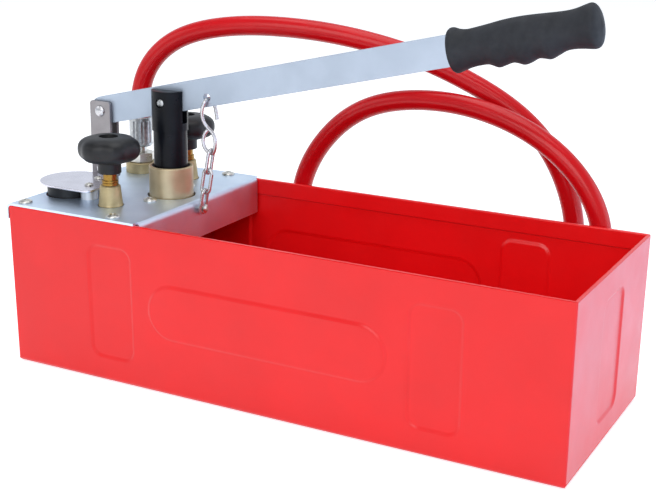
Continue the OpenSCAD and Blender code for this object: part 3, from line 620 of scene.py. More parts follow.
def on_wall(panel, across, up, depth, turn, inward):
    """Stands a panel on a wall of the tank: 0 is the front, and the others follow by a quarter turn."""
    lean = WALL_LEAN if turn % 180 == 0 else 0
    out = TANK_W / 2 - SIDE_TAPER / 2 if turn % 180 == 0 else TANK_L / 2
    flip = Matrix.Rotation(math.pi, 4, "X") if inward else Matrix.Identity(4)
    place = Matrix.Rotation(math.radians(turn), 4, "Z")
    place = place @ Matrix.Translation(Vector((0, -out, TANK_H / 2)) * MM)
    place = place @ Matrix.Rotation(math.pi / 2 + lean, 4, "X")
    place = place @ Matrix.Translation(Vector((across, up, -depth)) * MM)
    panel.data.transform(place @ flip)
    return panel


def panel_set(depth, reach, raised):
    """The panels that are pressed outwards, or those that are pressed inwards, as one piece."""
    panels = []
    for size, across, up, turn in RAISED_PANELS if raised else SUNK_PANELS:
        panel = pressed_panel(*size, reach)
        panels.append(on_wall(panel, across, up, depth, turn, not raised))
    return join(panels)


def make_tank():
    """A folded sheet trough with soft pressed panels, a hem folded in at the rim, and tabs for the
    plate."""
    tank = block((-TANK_L / 2, -TANK_W / 2, 0), (TANK_L / 2, TANK_W / 2, TANK_H))
    edit(tank, "FACE")
    pick(tank, "FACE", lambda face: face.normal.z < -0.9)
    bpy.ops.transform.resize(value=(1, 1 - 2 * SIDE_TAPER / TANK_W, 1), center_override=(0, 0, 0))
    pick(tank, "FACE", lambda face: face.normal.z > 0.9)
    bpy.ops.mesh.delete(type="ONLY_FACE")
    pick(tank, "EDGE", lambda edge: all(v.co.z < MM for v in edge.verts))
    bpy.ops.mesh.bevel(offset=FLOOR_BEND * MM, segments=4)
    pick(tank, "EDGE", lambda edge: abs(edge.verts[0].co.z - edge.verts[1].co.z) > TANK_H / 2 * MM)
    bpy.ops.mesh.bevel(offset=CORNER_BEND * MM, segments=3)
    close()
    apply(tank, "SOLIDIFY", {"thickness": SHEET * MM, "offset": -1, "use_even_offset": True})
    hem_low = TANK_H - HEM
    gap_low = hem_low - HEM_GAP
    edit(tank, "FACE")
    for level in (hem_low, gap_low):
        take_all()
        bpy.ops.mesh.bisect(plane_co=(0, 0, level * MM), plane_no=(0, 0, 1))

    def inside(face, low, high):
        place = middle(face)
        faces_in = face.normal.x * place.x + face.normal.y * place.y < -TANK_W / 10
        return faces_in and low < place.z < high

    pick(tank, "FACE", lambda face: inside(face, hem_low, TANK_H))
    bpy.ops.mesh.extrude_region_shrink_fatten(TRANSFORM_OT_shrink_fatten={"value": HEM_FOLD * MM})
    pick(tank, "FACE", lambda face: inside(face, gap_low, hem_low))
    bpy.ops.mesh.extrude_region_shrink_fatten(TRANSFORM_OT_shrink_fatten={"value": -HEM_GROOVE * MM})
    take_all()
    bpy.ops.mesh.remove_doubles(threshold=SHEET_SEAM * MM)
    bpy.ops.mesh.dissolve_limited(angle_limit=math.radians(1))

    def on_rim(edge):
        level = all(v.co.z > (TANK_H - NEAR) * MM for v in edge.verts)
        return level and edge.calc_face_angle(0) > 1

    pick(tank, "EDGE", on_rim)
    bpy.ops.mesh.bevel(offset=RIM_ROUND * MM, segments=4)
    close()
    cut(tank, panel_set(0, PANEL_ROOT, raised=True), "UNION")
    cut(tank, panel_set(SHEET, PANEL_CUT, raised=True), "DIFFERENCE")
    cut(tank, panel_set(SHEET, PANEL_ROOT, raised=False), "UNION")
    cut(tank, panel_set(0, PANEL_CUT, raised=False), "DIFFERENCE")
    tabs = []
    for x, y in PLATE_SCREWS:
        side = 1 if y > 0 else -1
        near, far = sorted((side * TAB_INNER, side * TAB_OUTER))
        tab = block((x - TAB_HALF_W, near, TANK_H - TAB_T), (x + TAB_HALF_W, far, TANK_H - 0.05))
        cut(tab, drill((x, y), M5_HOLE, TANK_H - 4, TANK_H + 2), "DIFFERENCE")
        tabs.append(tab)
    join([tank, *tabs])
    shade(tank, 40)
    return tank


fit_out(make_tank(), "tank_pressed", "frame", red_powder_coat, "red_powder_coat", "tank")


# The cover plate

PLATE_X0 = -257
PLATE_X1 = -119
PLATE_BEND = 5.4
SKIRT = 14
DIVIDER = 34
DIVIDER_HALF_W = 94
CORNER_SLIP = 3
ANCHOR = Vector((-120, -5, 139.5))


def make_plate():
    """Sheet bent down at both ends: a short skirt outside the tank and a deep divider inside it."""
    centre = Vector(((PLATE_X0 + PLATE_X1) / 2, 0, PLATE_TOP))
    bpy.ops.mesh.primitive_plane_add(size=1, location=centre * MM)
    plate = bpy.context.object
    plate.scale = Vector((PLATE_X1 - PLATE_X0, TANK_W, 1)) * MM
    bpy.ops.object.transform_apply()
    edit(plate, "EDGE")
    pick(plate, "EDGE", lambda edge: all(v.co.x < (PLATE_X0 + NEAR) * MM for v in edge.verts))
    bpy.ops.mesh.extrude_region_move(TRANSFORM_OT_translate={"value": (0, 0, -SKIRT * MM)})
    for y in (-DIVIDER_HALF_W, DIVIDER_HALF_W):
        take_all()
        bpy.ops.mesh.bisect(plane_co=Vector((0, y, 0)) * MM, plane_no=(0, 1, 0))
    slip_start = PLATE_X1 - CORNER_SLIP
    take_all()
    bpy.ops.mesh.bisect(plane_co=Vector((slip_start, 0, 0)) * MM, plane_no=(1, 0, 0))

    def corner_slip(face):
        place = middle(face)
        return place.x > slip_start and abs(place.y) > DIVIDER_HALF_W

    pick(plate, "FACE", corner_slip)
    bpy.ops.mesh.delete(type="FACE")
    pick(plate, "EDGE", lambda edge: all(v.co.x > (PLATE_X1 - NEAR) * MM for v in edge.verts))
    bpy.ops.mesh.extrude_region_move(TRANSFORM_OT_translate={"value": (0, 0, -DIVIDER * MM)})

    def at_bend(edge):
        level = all(v.co.z > (PLATE_TOP - NEAR) * MM for v in edge.verts)
        return level and edge.calc_face_angle(0) > 1

    pick(plate, "EDGE", at_bend)
    bpy.ops.mesh.bevel(offset=PLATE_BEND * MM, segments=8)
    take_all()
    bpy.ops.mesh.normals_make_consistent(inside=False)
    close()
    if plate.data.polygons[0].normal.z < 0:
        plate.data.flip_normals()
    apply(plate, "SOLIDIFY", {"thickness": PLATE_T * MM, "offset": -1, "use_even_offset": True})
    holes = [(COLLAR_AT, 21.5), (GAUGE, 21.3)]
    holes += [(at, 11.5) for at in VALVES.values()]
    holes += [(at, M5_LOOSE_HOLE) for at in (*BODY_SCREWS, *LUG_SCREWS)]
    holes += [(OUTLET, 10.5)]
    holes += [(at, M5_HOLE) for at in PLATE_SCREWS]
    holes += [(at, M4_HOLE) for at in GUARD_POSTS]
    tools = [drill(at, radius, PLATE_TOP - 7, PLATE_TOP + 3) for at, radius in holes]
    anchor_tool = drill((0, 0), M4_HOLE, -6, 6)
    lie = Matrix.Rotation(math.pi / 2, 4, "Y")
    anchor_tool.data.transform(Matrix.Translation(ANCHOR * MM) @ lie)
    cut(plate, join([*tools, anchor_tool]), "DIFFERENCE")
    ease(plate, 0.25)
    shade(plate)
    return plate


fit_out(make_plate(), "plate_bent", "frame", zinc_sheet, "zinc_sheet", "cover_plate")


# Pieces that keep their solid's shape, with their edges eased

# Each has the easing in mm and its steps, the node, and the piece's name, body, finish and slot
for width, steps, node, name, body, finish, slot in (
    (0.7, 3, "lever", "lever_bar", "lever", zinc_bar, "bright_zinc"),
    (0.5, 2, "strap_front", "strap_plate_front", "frame", satin_steel, "bright_zinc"),
    (0.5, 2, "strap_rear", "strap_plate_rear", "frame", satin_steel, "bright_zinc"),
    (0.6, 2, "strap_lug", "lug_block", "frame", satin_steel, "bright_zinc"),
    (0.7, 3, "piston", "piston_rod", "piston", blacked_steel, "blacked_steel"),
    (0.4, 2, "gauge_guard", "guard_plate", "guard", polished_zinc, "zinc_sheet"),
    (0.5, 3, "fulcrum_pin", "fulcrum_pin_eased", "frame", bright_wire, "bright_zinc"),
    (0.5, 3, "strap_pin", "strap_pin_eased", "frame", bright_wire, "bright_zinc"),
    (0.5, 3, "piston_pin", "piston_pin_eased", "piston", grey_zinc, "bright_zinc"),
    (0.5, 3, "gauge_case", "gauge_cup", "frame", black_phenolic, "black_plastic"),
    (0.3, 2, "hose_nipple", "nipple_turned", "frame", bright_zinc, "bright_zinc"),
    (0.25, 2, "chain_anchor", "anchor_screw", "frame", bright_zinc, "bright_zinc"),
):
    fit_out(softened(node, width, steps), name, body, finish, slot, node)


# The guard's posts

POST_TOP = 157
POST_BORE = 2.2
POST_RADII = (7.6, 3.6)

posts = []
for at, radius in zip(GUARD_POSTS, POST_RADII):
    posts.append(turned(at, rounded([
        (POST_BORE, PLATE_TOP), (radius, PLATE_TOP, 0.4), (radius, POST_TOP, 0.6),
        (POST_BORE, POST_TOP), (POST_BORE, PLATE_TOP),
    ])))
fit_out(join(posts), "guard_stands", "frame", satin_aluminium, "bright_zinc", "guard_posts")


# The lever's grip

LEVER_TILT = math.radians(13.4)
FULCRUM = Vector((-224, 0, 216))
GRIP_START = 347
GRIP_L = 119
GRIP_OVAL = 0.85
GRIP_SIDES = 56
GRIP_RINGS = 118
GRIP_END_RINGS = (0.82, 0.5, 0.15)
GRIP_CROWN = 0.9
# Along the grip and out from its middle line, on its upper and on its lower side
GRIP_UPPER = [
    (0, 16.4), (1.5, 17.2), (4, 17), (8, 15.2), (14, 14), (20, 14.2), (31, 15), (43, 16.1),
    (55, 16.5), (66, 16.2), (78, 15.4), (88, 14.7), (96, 14.5), (102, 15), (108, 16.2),
    (113, 17), (115.5, 16), (117.5, 13), (118.6, 9), (119, 5),
]
GRIP_LOWER = [
    (0, 17.4), (1.5, 18.3), (4, 18), (9, 16.8), (14, 15.7), (21, 15.2), (28, 15.5), (32, 17.2),
    (36, 19), (40.5, 18.3), (47.5, 17.1), (52, 18.3), (56.3, 20), (61.5, 19.2), (67.7, 17.1),
    (72, 17.7), (77.3, 19.1), (83.3, 17.2), (90, 14.8), (97, 14.6), (104, 15.5), (111, 16.8),
    (114, 16.6), (116.5, 14.5), (118.2, 10), (119, 5),
]


def along(table, s):
    """A value along a table, on a smooth curve through its points."""
    last = len(table) - 1
    i = next((k for k in range(last) if table[k + 1][0] >= s), last - 1)
    (s0, a), (s1, b) = table[i], table[i + 1]
    slope = (b - a) / (s1 - s0)
    before = slope if i == 0 else (b - table[i - 1][1]) / (s1 - table[i - 1][0])
    after = slope if i + 1 == last else (table[i + 2][1] - a) / (table[i + 2][0] - s0)
    t = (s - s0) / (s1 - s0)
    width = s1 - s0
    rise = (t ** 3 - 2 * t ** 2 + t) * width * before + (t ** 3 - t ** 2) * width * after
    return (2 * t ** 3 - 3 * t ** 2 + 1) * a + (3 * t ** 2 - 2 * t ** 3) * b + rise


def make_grip():
    """An oval moulded grip: flared at both ends, full in the palm, with three finger ridges below."""
    bpy.ops.mesh.primitive_cylinder_add(
        vertices=GRIP_SIDES, radius=1, depth=1, rotation=(0, math.pi / 2, 0)
    )
    bpy.ops.object.transform_apply()
    grip = bpy.context.object
    edit(grip, "EDGE")
    pick(grip, "EDGE", lambda edge: abs(edge.verts[0].co.x - edge.verts[1].co.x) > 0.5)
    bpy.ops.mesh.subdivide(number_cuts=GRIP_RINGS)
    pick(grip, "FACE", lambda face: abs(face.normal.x) > 0.9)
    for size in GRIP_END_RINGS:
        bpy.ops.mesh.extrude_region_move()
        bpy.ops.transform.resize(value=(1, size, size))
    close()
    place = Matrix.Translation(FULCRUM * MM) @ Matrix.Rotation(-LEVER_TILT, 4, "Y")
    for point in grip.data.vertices:
        s = (point.co.x + 0.5) * GRIP_L
        spread = min(1, math.hypot(point.co.y, point.co.z))
        angle = math.atan2(point.co.z, point.co.y)
        low = (1 - math.sin(angle)) / 2
        radius = along(GRIP_UPPER, s) * (1 - low) + along(GRIP_LOWER, s) * low
        crown = GRIP_CROWN * (1 - spread ** 2) if s > GRIP_L / 2 else 0
        spot = Vector((
            GRIP_START + s + crown, GRIP_OVAL * radius * spread * math.cos(angle),
            radius * spread * math.sin(angle)
        ))
        point.co = place @ (spot * MM)
    shade(grip, 50)
    return grip


fit_out(make_grip(), "grip_moulded", "lever", grip_vinyl, "black_plastic", "grip")


# The pump's collar and the two valves

COLLAR_R = 19.7
COLLAR_BORE = 17.05
COLLAR_LOW = 118
COLLAR_TOP = 174
BONNET_BORE = 6.1
BONNET_LOW = 121
BONNET_TOP = 165
GLAND_R = 7.1
GLAND_GROOVE_R = 6.6
GLAND_TOP = 169.5

collar = turned(COLLAR_AT, rounded([
    (COLLAR_BORE, 122), (COLLAR_BORE, COLLAR_LOW), (COLLAR_R, COLLAR_LOW), (COLLAR_R, COLLAR_TOP, 1.4),
    (17.3, COLLAR_TOP, 0.2), (COLLAR_BORE, COLLAR_TOP - 0.4), (COLLAR_BORE, 122),
]), 96)
fit_out(collar, "collar_turned", "frame", turned_brass, "turned_brass", "cylinder_collar")

for side, at in VALVES.items():
    bonnet = turned(at, rounded([
        (BONNET_BORE, BONNET_LOW), (9, BONNET_LOW), (9, TANK_H), (10.9, 147.1, 0.6), (10.5, 148.2, 0.5),
        (10.3, 149.5, 0.6), (8.8, 164.2, 0.8), (7.7, BONNET_TOP, 0.3), (BONNET_BORE, BONNET_TOP),
        (BONNET_BORE, BONNET_LOW),
    ]))
    fit_out(bonnet, "bonnet_cast_" + side, "frame", cast_brass, "cast_brass", "bonnet_" + side)
glands = [turned(at, rounded([
    (BONNET_BORE, BONNET_TOP), (GLAND_R, BONNET_TOP, 0.3), (GLAND_R, 166.9, 0.3),
    (GLAND_GROOVE_R, 167.2, 0.1), (GLAND_GROOVE_R, 167.5, 0.1), (GLAND_R, 167.8, 0.3),
    (GLAND_R, GLAND_TOP, 0.5), (BONNET_BORE, GLAND_TOP), (BONNET_BORE, BONNET_TOP),
])) for at in VALVES.values()]
fit_out(join(glands), "gland_rings", "frame", amber_brass, "turned_brass", "gland_nuts")

KNOB_R = 26.7
KNOB_MID = 196.3
KNOB_DOME = 11.2
KNOB_BELLY = 10
KNOB_RECESS = 5
KNOB_TOP = KNOB_MID + KNOB_DOME
KNOB_FLOOR = KNOB_TOP - KNOB_RECESS
HUB_R = 10
BELLY_REACH = 12
DOME_FLAT_R = 9
# A power below 1 makes a round fuller than an ellipse
BELLY_POWER = 0.85
DOME_POWER = 0.78
LOBES = 6
LOBE_TURN = 67
VALLEY = 2.0
VALLEY_HALF = 24
VALLEY_START_R = 13
VALLEY_FADE = 1.3


def knob_profile():
    """Half a knob: its hub, a full belly, a dome, and the round recess for its screw."""
    low = KNOB_MID - KNOB_BELLY
    line = rounded([(6.1, 175.7), (HUB_R, 175.5, 0.8), (HUB_R, low, 1), (KNOB_R - BELLY_REACH, low)])
    for step in range(1, 10):
        a = math.radians(90 - 10 * step)
        across = KNOB_R - BELLY_REACH * (1 - math.cos(a) ** BELLY_POWER)
        line.append(Vector((across, KNOB_MID - KNOB_BELLY * math.sin(a) ** BELLY_POWER)))
    for step in range(1, 10):
        a = math.radians(10 * step)
        across = DOME_FLAT_R + (KNOB_R - DOME_FLAT_R) * math.cos(a) ** DOME_POWER
        line.append(Vector((across, KNOB_MID + KNOB_DOME * math.sin(a) ** DOME_POWER)))
    recess = rounded([line[-1], (8.2, KNOB_TOP, 0.8), (8, KNOB_FLOOR, 0.7), (0, KNOB_FLOOR)])
    return line[:-1] + recess


def knob_lobes(angle, radius, height):
    """How far a point of the knob goes in: six shallow valleys that fade towards the middle."""
    pitch = 360 / LOBES
    part = (math.degrees(angle) + LOBE_TURN + pitch / 2) % pitch - pitch / 2
    valley = 0.5 + 0.5 * math.cos(math.pi * min(1, abs(part) / VALLEY_HALF))
    share = max(0, (radius - VALLEY_START_R) / (KNOB_R - VALLEY_START_R))
    return -VALLEY * valley * share ** VALLEY_FADE


for side, at in VALVES.items():
    knob = turned(at, knob_profile(), 120)
    swell(knob, at, knob_lobes)
    shade(knob, 50)
    fit_out(knob, "knob_lobed_" + side, "knob_" + side, black_phenolic, "black_plastic", "knob_" + side)


# The outlet and the hose's two ends

def hex_piece(at, low, high, flats, bore, turn=0):
    """A hexagon nut with its corners chamfered at both ends, drilled through."""
    corner = flats / 2 / math.cos(math.pi / 6)
    bpy.ops.mesh.primitive_cylinder_add(
        vertices=6, radius=corner * MM, depth=(high - low) * MM,
        location=Vector((at[0], at[1], (low + high) / 2)) * MM, rotation=(0, 0, math.pi / 6 + turn)
    )
    nut = bpy.context.object
    bpy.ops.object.transform_apply()
    half = flats / 2
    drop = (corner - half) * 0.6
    chamfer = turned(at, [
        (0, low), (half, low), (corner, low + drop), (corner, high - drop), (half, high), (0, high),
    ], 72)
    cut(nut, chamfer, "INTERSECT")
    cut(nut, drill(at, bore, low - 1, high + 1), "DIFFERENCE")
    ease(nut, 0.25)
    shade(nut)
    return nut


FERRULE_R = 11
FERRULE_CRIMPED_R = 10.7
FERRULE_BORE = 4
FERRULE_MOUTH_R = 9.2
FERRULE_L = 28
CRIMPS = 8
CRIMP_DEPTH = 0.75


def crimped_ferrule(at, low):
    """A pressed sleeve with lengthwise crimps and a rolled mouth."""
    top = low + FERRULE_L
    piece = turned(at, rounded([
        (FERRULE_BORE, low), (9.6, low, 0.6), (FERRULE_R, low + 1.6, 0.8), (FERRULE_R, low + 3, 0.3),
        (FERRULE_CRIMPED_R, low + 3.6, 0.3), (FERRULE_CRIMPED_R, low + 24, 0.3),
        (FERRULE_R, low + 24.8, 0.3), (FERRULE_R, top, 0.9), (FERRULE_MOUTH_R, top),
        (FERRULE_MOUTH_R, top - 2), (FERRULE_BORE, top - 2), (FERRULE_BORE, low),
    ], 3), 128)

    def crimps(angle, radius, height):
        if radius < FERRULE_CRIMPED_R - 0.7 or not low + 3.5 < height < low + 24.2:
            return 0
        return -CRIMP_DEPTH * max(0, math.cos(CRIMPS * angle)) ** 6

    swell(piece, at, crimps)
    shade(piece)
    return piece


outlet_collar = turned(OUTLET, rounded([
    (4, 137), (10, 137), (10, PLATE_TOP), (15, PLATE_TOP, 0.5), (15, 157, 1.4), (12.6, 157), (12.6, 156.6),
    (4, 156.6), (4, 137),
]), 72)
fit_out(outlet_collar, "outlet_boss", "frame", cast_brass, "cast_brass", "outlet_collar")
outlet_hex = hex_piece(OUTLET, 157, 166, 22, 3.9)
fit_out(outlet_hex, "outlet_hex", "frame", bright_zinc, "bright_zinc", "outlet_nut")
outlet_sleeve = crimped_ferrule(OUTLET, 172)
fit_out(outlet_sleeve, "outlet_sleeve", "frame", grey_zinc, "bright_zinc", "hose_ferrule")

# The far end is modelled upright at the origin, then laid along the floor at the end of the hose
LAY = Matrix.Translation(Vector(HOSE_ROUTE[-1]) * MM) @ Matrix.Rotation(-math.pi / 2, 4, "Y")
TIP_OVER = Matrix.Translation((0, 0, FERRULE_L * MM)) @ Matrix.Rotation(math.pi, 4, "X")
end_sleeve = crimped_ferrule((0, 0), 0)
end_sleeve.data.transform(LAY @ TIP_OVER)
fit_out(end_sleeve, "end_sleeve", "frame", grey_zinc, "bright_zinc", "end_ferrule")
end_hex = hex_piece((0, 0), 32, 54, 27, 6.1, math.pi / 6)
cut(end_hex, drill((0, 0), 9, 38, 60), "DIFFERENCE")
end_hex.data.transform(LAY)
fit_out(end_hex, "end_hex", "frame", bright_zinc, "bright_zinc", "end_nut")


# The hook, the chain and the screws

HOOK_WIRE = 1.6
# The hook's hole along the lever and below its middle line, and how far below it the wire lies
HOOK_HOLE = Vector((115, 0, -4.5))
HOOK_SAG = Vector((0, 0, -1.2))
HOOK = FULCRUM + Matrix.Rotation(-LEVER_TILT, 3, "Y") @ HOOK_HOLE + HOOK_SAG
# From the hook's tip, over the lever's hole and down to the eye that holds the chain
HOOK_ROUTE = [
    (4.2, 6.5, -19), (3, 6.5, -10), (0.8, 6.3, -3), (0, 4, 0), (0, 0, 0), (0, -4, 0),
    (-1, -6.4, -3), (-3.6, -6.5, -11), (-3.4, -5, -19), (-0.6, -2, -25.5), (4.6, -0.3, -29.5),
    (6.3, 0.2, -36), (5.6, 0.6, -44), (3.6, 0.9, -48), (1.4, 1, -48.6), (-1.4, 0.8, -47.8),
    (-5, -0.6, -43.7), (-6, -1.4, -37), (-4.6, -0.6, -30.6), (-1, 2.2, -26.2),
]


def as_mesh(piece):
    """Makes a wire a mesh, with its seams closed."""
    take(piece)
    bpy.ops.object.convert(target="MESH")
    edit(piece, "VERT")
    take_all()
    bpy.ops.mesh.remove_doubles(threshold=SEAM * MM)
    close()
    shade(piece, 60)
    return piece


hook = as_mesh(wire("hook", [HOOK + point for point in smooth(HOOK_ROUTE, 6)], HOOK_WIRE))
fit_out(hook, "hook_wire", "hook", bright_wire, "bright_zinc", "s_hook")

CHAIN_TOP = HOOK + Vector((1.5, 1, -44.8))
CHAIN_FOOT = Vector((-116, -5.4, 135.8))
LINKS = 3
LINK_WIRE = 1.5
LINK_HALF_W = 4
LINK_GAP = 2 * LINK_WIRE + 0.2


def make_chain():
    """Long links, drawn taut from the hook's eye to the anchor, each a quarter turn from the last."""
    run = CHAIN_TOP - CHAIN_FOOT
    pitch = (run.length + (LINKS - 1) * LINK_GAP) / LINKS
    straight = pitch / 2 - LINK_HALF_W
    hang = Matrix.Translation(CHAIN_TOP) @ Matrix.Rotation(math.atan2(run.x, run.z), 4, "Y")
    hang = hang @ Matrix.Rotation(math.asin(-run.y / run.length), 4, "X")
    links = []
    for i in range(LINKS):
        place = hang @ Matrix.Translation((0, 0, -pitch / 2 - i * (pitch - LINK_GAP)))
        place = place @ Matrix.Rotation(0 if i % 2 else math.pi / 2, 4, "Z")
        loop = []
        for end, start in ((1, 0), (-1, 180)):
            for step in range(19):
                a = math.radians(start + 10 * step)
                up = end * straight + LINK_HALF_W * math.sin(a)
                loop.append(place @ Vector((LINK_HALF_W * math.cos(a), 0, up)))
        links.append(as_mesh(wire("link", loop, LINK_WIRE, closed=True)))
    return join(links)


chain = fit_out(make_chain(), "chain_wire", "frame", bright_wire, "bright_zinc", "chain_links")
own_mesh(chain)


def cross_screw(at, seat, shank, length, head, rise, turn):
    """A pan-head screw: a plain shank, a domed head with soft edges, and a cross recess that tapers."""
    screw = turned((0, 0), rounded([
        (0, -length), (shank / 2 - 0.5, -length), (shank / 2, 0.5 - length), (shank / 2, 0),
        (head / 2, 0, 0.25), (head / 2, rise * 0.5, rise * 0.5), (head * 0.26, rise * 0.94, 1.5), (0, rise),
    ], 5), 40)
    for quarter in (0, 1):
        blade = block((-head * 0.28, -0.55, rise * 0.35), (head * 0.28, 0.55, rise + 1))
        edit(blade, "FACE")
        pick(blade, "FACE", lambda face: face.normal.z < -0.9)
        bpy.ops.transform.resize(value=(0.5, 0.7, 1), center_override=(0, 0, 0))
        close()
        blade.data.transform(Matrix.Rotation(quarter * math.pi / 2, 4, "Z"))
        cut(screw, blade, "DIFFERENCE")
    ease(screw, 0.12)
    shade(screw, 40)
    place = Matrix.Translation(Vector((at[0], at[1], seat)) * MM)
    screw.data.transform(place @ Matrix.Rotation(math.radians(turn), 4, "Z"))
    return screw


def screw_set(places, seat, sizes, name, body, node):
    """A set of like screws, each left at its own angle by the driver. Its sizes are shank, length,
    head and the head's rise."""
    screws = [cross_screw(at, seat, *sizes, 20 + 53 * i) for i, at in enumerate(places)]
    fit_out(join(screws), name, body, bright_zinc, "bright_zinc", node)


LUG_TOP = 151
GUARD_TOP = 159.2
screw_set(PLATE_SCREWS, PLATE_TOP, (5, 10, 12, 2.8), "plate_pan_heads", "frame", "plate_screws")
screw_set(BODY_SCREWS, PLATE_TOP, (5, 14, 12, 3), "body_pan_heads", "frame", "body_screws")
screw_set(LUG_SCREWS, LUG_TOP, (5, 17, 9, 2.6), "lug_pan_heads", "frame", "lug_screws")
screw_set(GUARD_POSTS, GUARD_TOP, (4, 16, 8, 2), "guard_pan_heads", "frame", "guard_screws")
for side, at in VALVES.items():
    names = ("knob_pan_head_" + side, "knob_" + side, "knob_screw_" + side)
    screw_set([at], KNOB_FLOOR, (4.8, 14, 11, 2.7), *names)


# The dial

SCALE_START = 225
SCALE_TICKS = 31
TICK_TURN = 9
TICK_END = 15.7
# Where a long and a short tick start, and half their width
LONG_TICK = (13.2, 0.2)
SHORT_TICK = (14.4, 0.12)
RING_IN = 15.6
RING_OUT = 15.9
NUMBERS_R = 10.4
PRINT_T = 0.03


def printed(body, size, place):
    """A plain number as a thin mesh, flat on the dial."""
    bpy.ops.object.text_add()
    number = bpy.context.object
    number.data.body = body
    number.data.size = size * MM
    number.data.extrude = PRINT_T / 2 * MM
    number.data.align_x = "CENTER"
    number.data.align_y = "CENTER"
    bpy.ops.object.convert(target="MESH")
    number.data.transform(Matrix.Translation(Vector(place) * MM))
    return number


def make_scale(at, level):
    """The dial's print: a ring, ticks from lower left to lower right, and a number at every tenth."""
    top = level + PRINT_T
    ring = [(RING_IN, level), (RING_OUT, level), (RING_OUT, top), (RING_IN, top), (RING_IN, level)]
    marks = [turned(at, ring)]
    centre = Matrix.Translation(Vector((*at, level)) * MM)
    for step in range(SCALE_TICKS):
        start, half = SHORT_TICK if step % 5 else LONG_TICK
        tick = block((start, -half, 0), (TICK_END, half, PRINT_T))
        turn = Matrix.Rotation(math.radians(SCALE_START - TICK_TURN * step), 4, "Z")
        tick.data.transform(centre @ turn)
        marks.append(tick)
    for step in range(0, SCALE_TICKS, 10):
        a = math.radians(SCALE_START - TICK_TURN * step)
        spot = (at[0] + NUMBERS_R * math.cos(a), at[1] + NUMBERS_R * math.sin(a), level)
        marks.append(printed(str(2 * step), 3.6, spot))
    marks.append(printed("bar", 2.6, (at[0], at[1] - 7, level)))
    return join(marks)


scale = make_scale(GAUGE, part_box("gauge_dial")[1][2] / MM)
fit_out(scale, "dial_print", "frame", dial_ink, "black_plastic")


# The floor, the backdrop and the lamps

WHITE = (1, 1, 1, 1)
PALE_BLUE = (0.88, 0.93, 1, 1)
# The painted reflection: the floor past the tank's end glows this blue, brighter than white, in gloss alone
PAINTED_REFLECTION_BLUE = (0.9, 1.25, 1.9, 1)
FLOOR_GLOW = 0.62
SOFT_LIGHT = 0.44
LAMP_AIM = Vector((0, 0, 0.1))
# Each lamp's name, place in metres, width, height, watts and tint
LAMPS = (
    ("key_lamp", (0.55, -2.2, 1.4), 2.2, 1.6, 29, (1, 1, 1)),
    ("top_lamp", (0.1, 0.1, 2.3), 2.2, 1.6, 23, (1, 1, 1)),
    ("fill_lamp", (-1.6, -1.2, 1.2), 1.2, 1.0, 4, (1, 1, 1)),
    ("end_lamp", (2.0, 0.95, 0.7), 1.8, 1.2, 8, (0.78, 0.86, 1)),
)


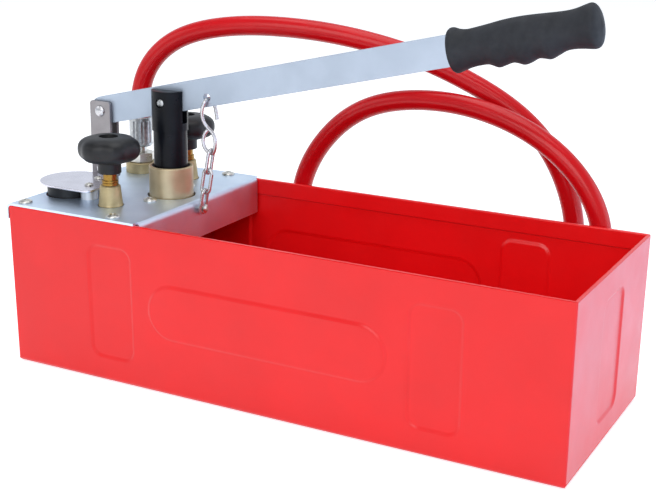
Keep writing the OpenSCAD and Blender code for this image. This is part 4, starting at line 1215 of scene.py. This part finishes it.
def lay_floor():
    """White paper that glows a little where the camera or gloss sees it. Past the tank's end a patch
    glows a brighter blue in gloss alone, as a painted reflection on the tank's end wall."""
    bpy.ops.mesh.primitive_plane_add(size=12, location=(0, 0, -0.2 * MM))
    floor = bpy.context.object
    floor.name = "floor"
    material = bpy.data.materials.new("white_paper")
    material.use_nodes = True
    floor.data.materials.append(material)
    tree = material.node_tree
    path = add_node(tree, "LightPath").outputs
    spot = add_node(tree, "TexCoord").outputs["Object"]
    aside = add_node(tree, "SeparateXYZ", None, {"Vector": spot}).outputs["X"]
    # Where the painted blue reflection starts: the floor beyond the tank's end, to gloss rays only
    right = add_node(
        tree, "MapRange",
        {"From Min": 0.22, "From Max": 0.32, "To Min": 0.0, "To Max": 1.0}, {"Value": aside}
    )
    share = add_node(
        tree, "Math", {"operation": "MULTIPLY"}, {0: right.outputs["Result"], 1: path["Is Glossy Ray"]}
    )
    tint = add_node(tree, "MixRGB", {"Color1": PALE_BLUE, "Color2": PAINTED_REFLECTION_BLUE}, {"Fac": share.outputs[0]})
    seen = add_node(
        tree, "Math", {"operation": "MAXIMUM"}, {0: path["Is Camera Ray"], 1: path["Is Glossy Ray"]}
    )
    glow = add_node(tree, "Math", {"operation": "MULTIPLY"}, {0: seen.outputs[0]})
    glow.inputs[1].default_value = FLOOR_GLOW
    shader = tree.nodes["Principled BSDF"]
    shader.inputs["Base Color"].default_value = paint("#f0f0f0")
    shader.inputs["Roughness"].default_value = 0.9
    shader.inputs["Specular IOR Level"].default_value = 0.0
    tree.links.new(tint.outputs["Color"], shader.inputs["Emission Color"])
    tree.links.new(glow.outputs[0], shader.inputs["Emission Strength"])


def hang_backdrop():
    """White to the camera and through glass, pale blue and dimmer higher up in gloss, soft elsewhere."""
    world = bpy.data.worlds.new("backdrop")
    scene.world = world
    world.use_nodes = True
    tree = world.node_tree
    tree.nodes.clear()
    path = add_node(tree, "LightPath").outputs
    shown = add_node(
        tree, "Math", {"operation": "MAXIMUM"},
        {0: path["Is Camera Ray"], 1: path["Is Transmission Ray"]}
    )
    way = add_node(tree, "TexCoord").outputs["Generated"]
    rise = add_node(tree, "VectorMath", {"operation": "DOT_PRODUCT"}, {"Vector": way})
    rise.inputs[1].default_value = (0, -0.5, 1)
    dim = add_node(
        tree, "MapRange",
        {"From Min": 0.1, "From Max": 0.9, "To Min": 1.0, "To Max": 0.25}, {"Value": rise.outputs["Value"]}
    )
    soft = add_node(tree, "Background", {"Color": WHITE, "Strength": SOFT_LIGHT})
    mirrored = add_node(tree, "Background", {"Color": PALE_BLUE}, {"Strength": dim.outputs["Result"]})
    white = add_node(tree, "Background", {"Color": WHITE, "Strength": 1.0})
    unseen = add_node(
        tree, "MixShader", None,
        {"Fac": path["Is Glossy Ray"], 1: soft.outputs[0], 2: mirrored.outputs[0]}
    )
    mix = add_node(
        tree, "MixShader", None, {"Fac": shown.outputs[0], 1: unseen.outputs[0], 2: white.outputs[0]}
    )
    add_node(tree, "OutputWorld", None, {"Surface": mix.outputs[0]})


def hang_lamps():
    """A key and a top lamp, both broad, a weak one at the left, and a cool one for the tank's end."""
    for name, place, width, height, power, tint in LAMPS:
        data = bpy.data.lights.new(name, "AREA")
        data.shape = "RECTANGLE"
        data.size = width
        data.size_y = height
        data.energy = power
        data.color = tint
        lamp = bpy.data.objects.new(name, data)
        scene.collection.objects.link(lamp)
        lamp.location = place
        lamp.rotation_euler = (LAMP_AIM - Vector(place)).to_track_quat("-Z", "Y").to_euler()


lay_floor()
hang_backdrop()
hang_lamps()
scene.view_settings.view_transform = "Standard"
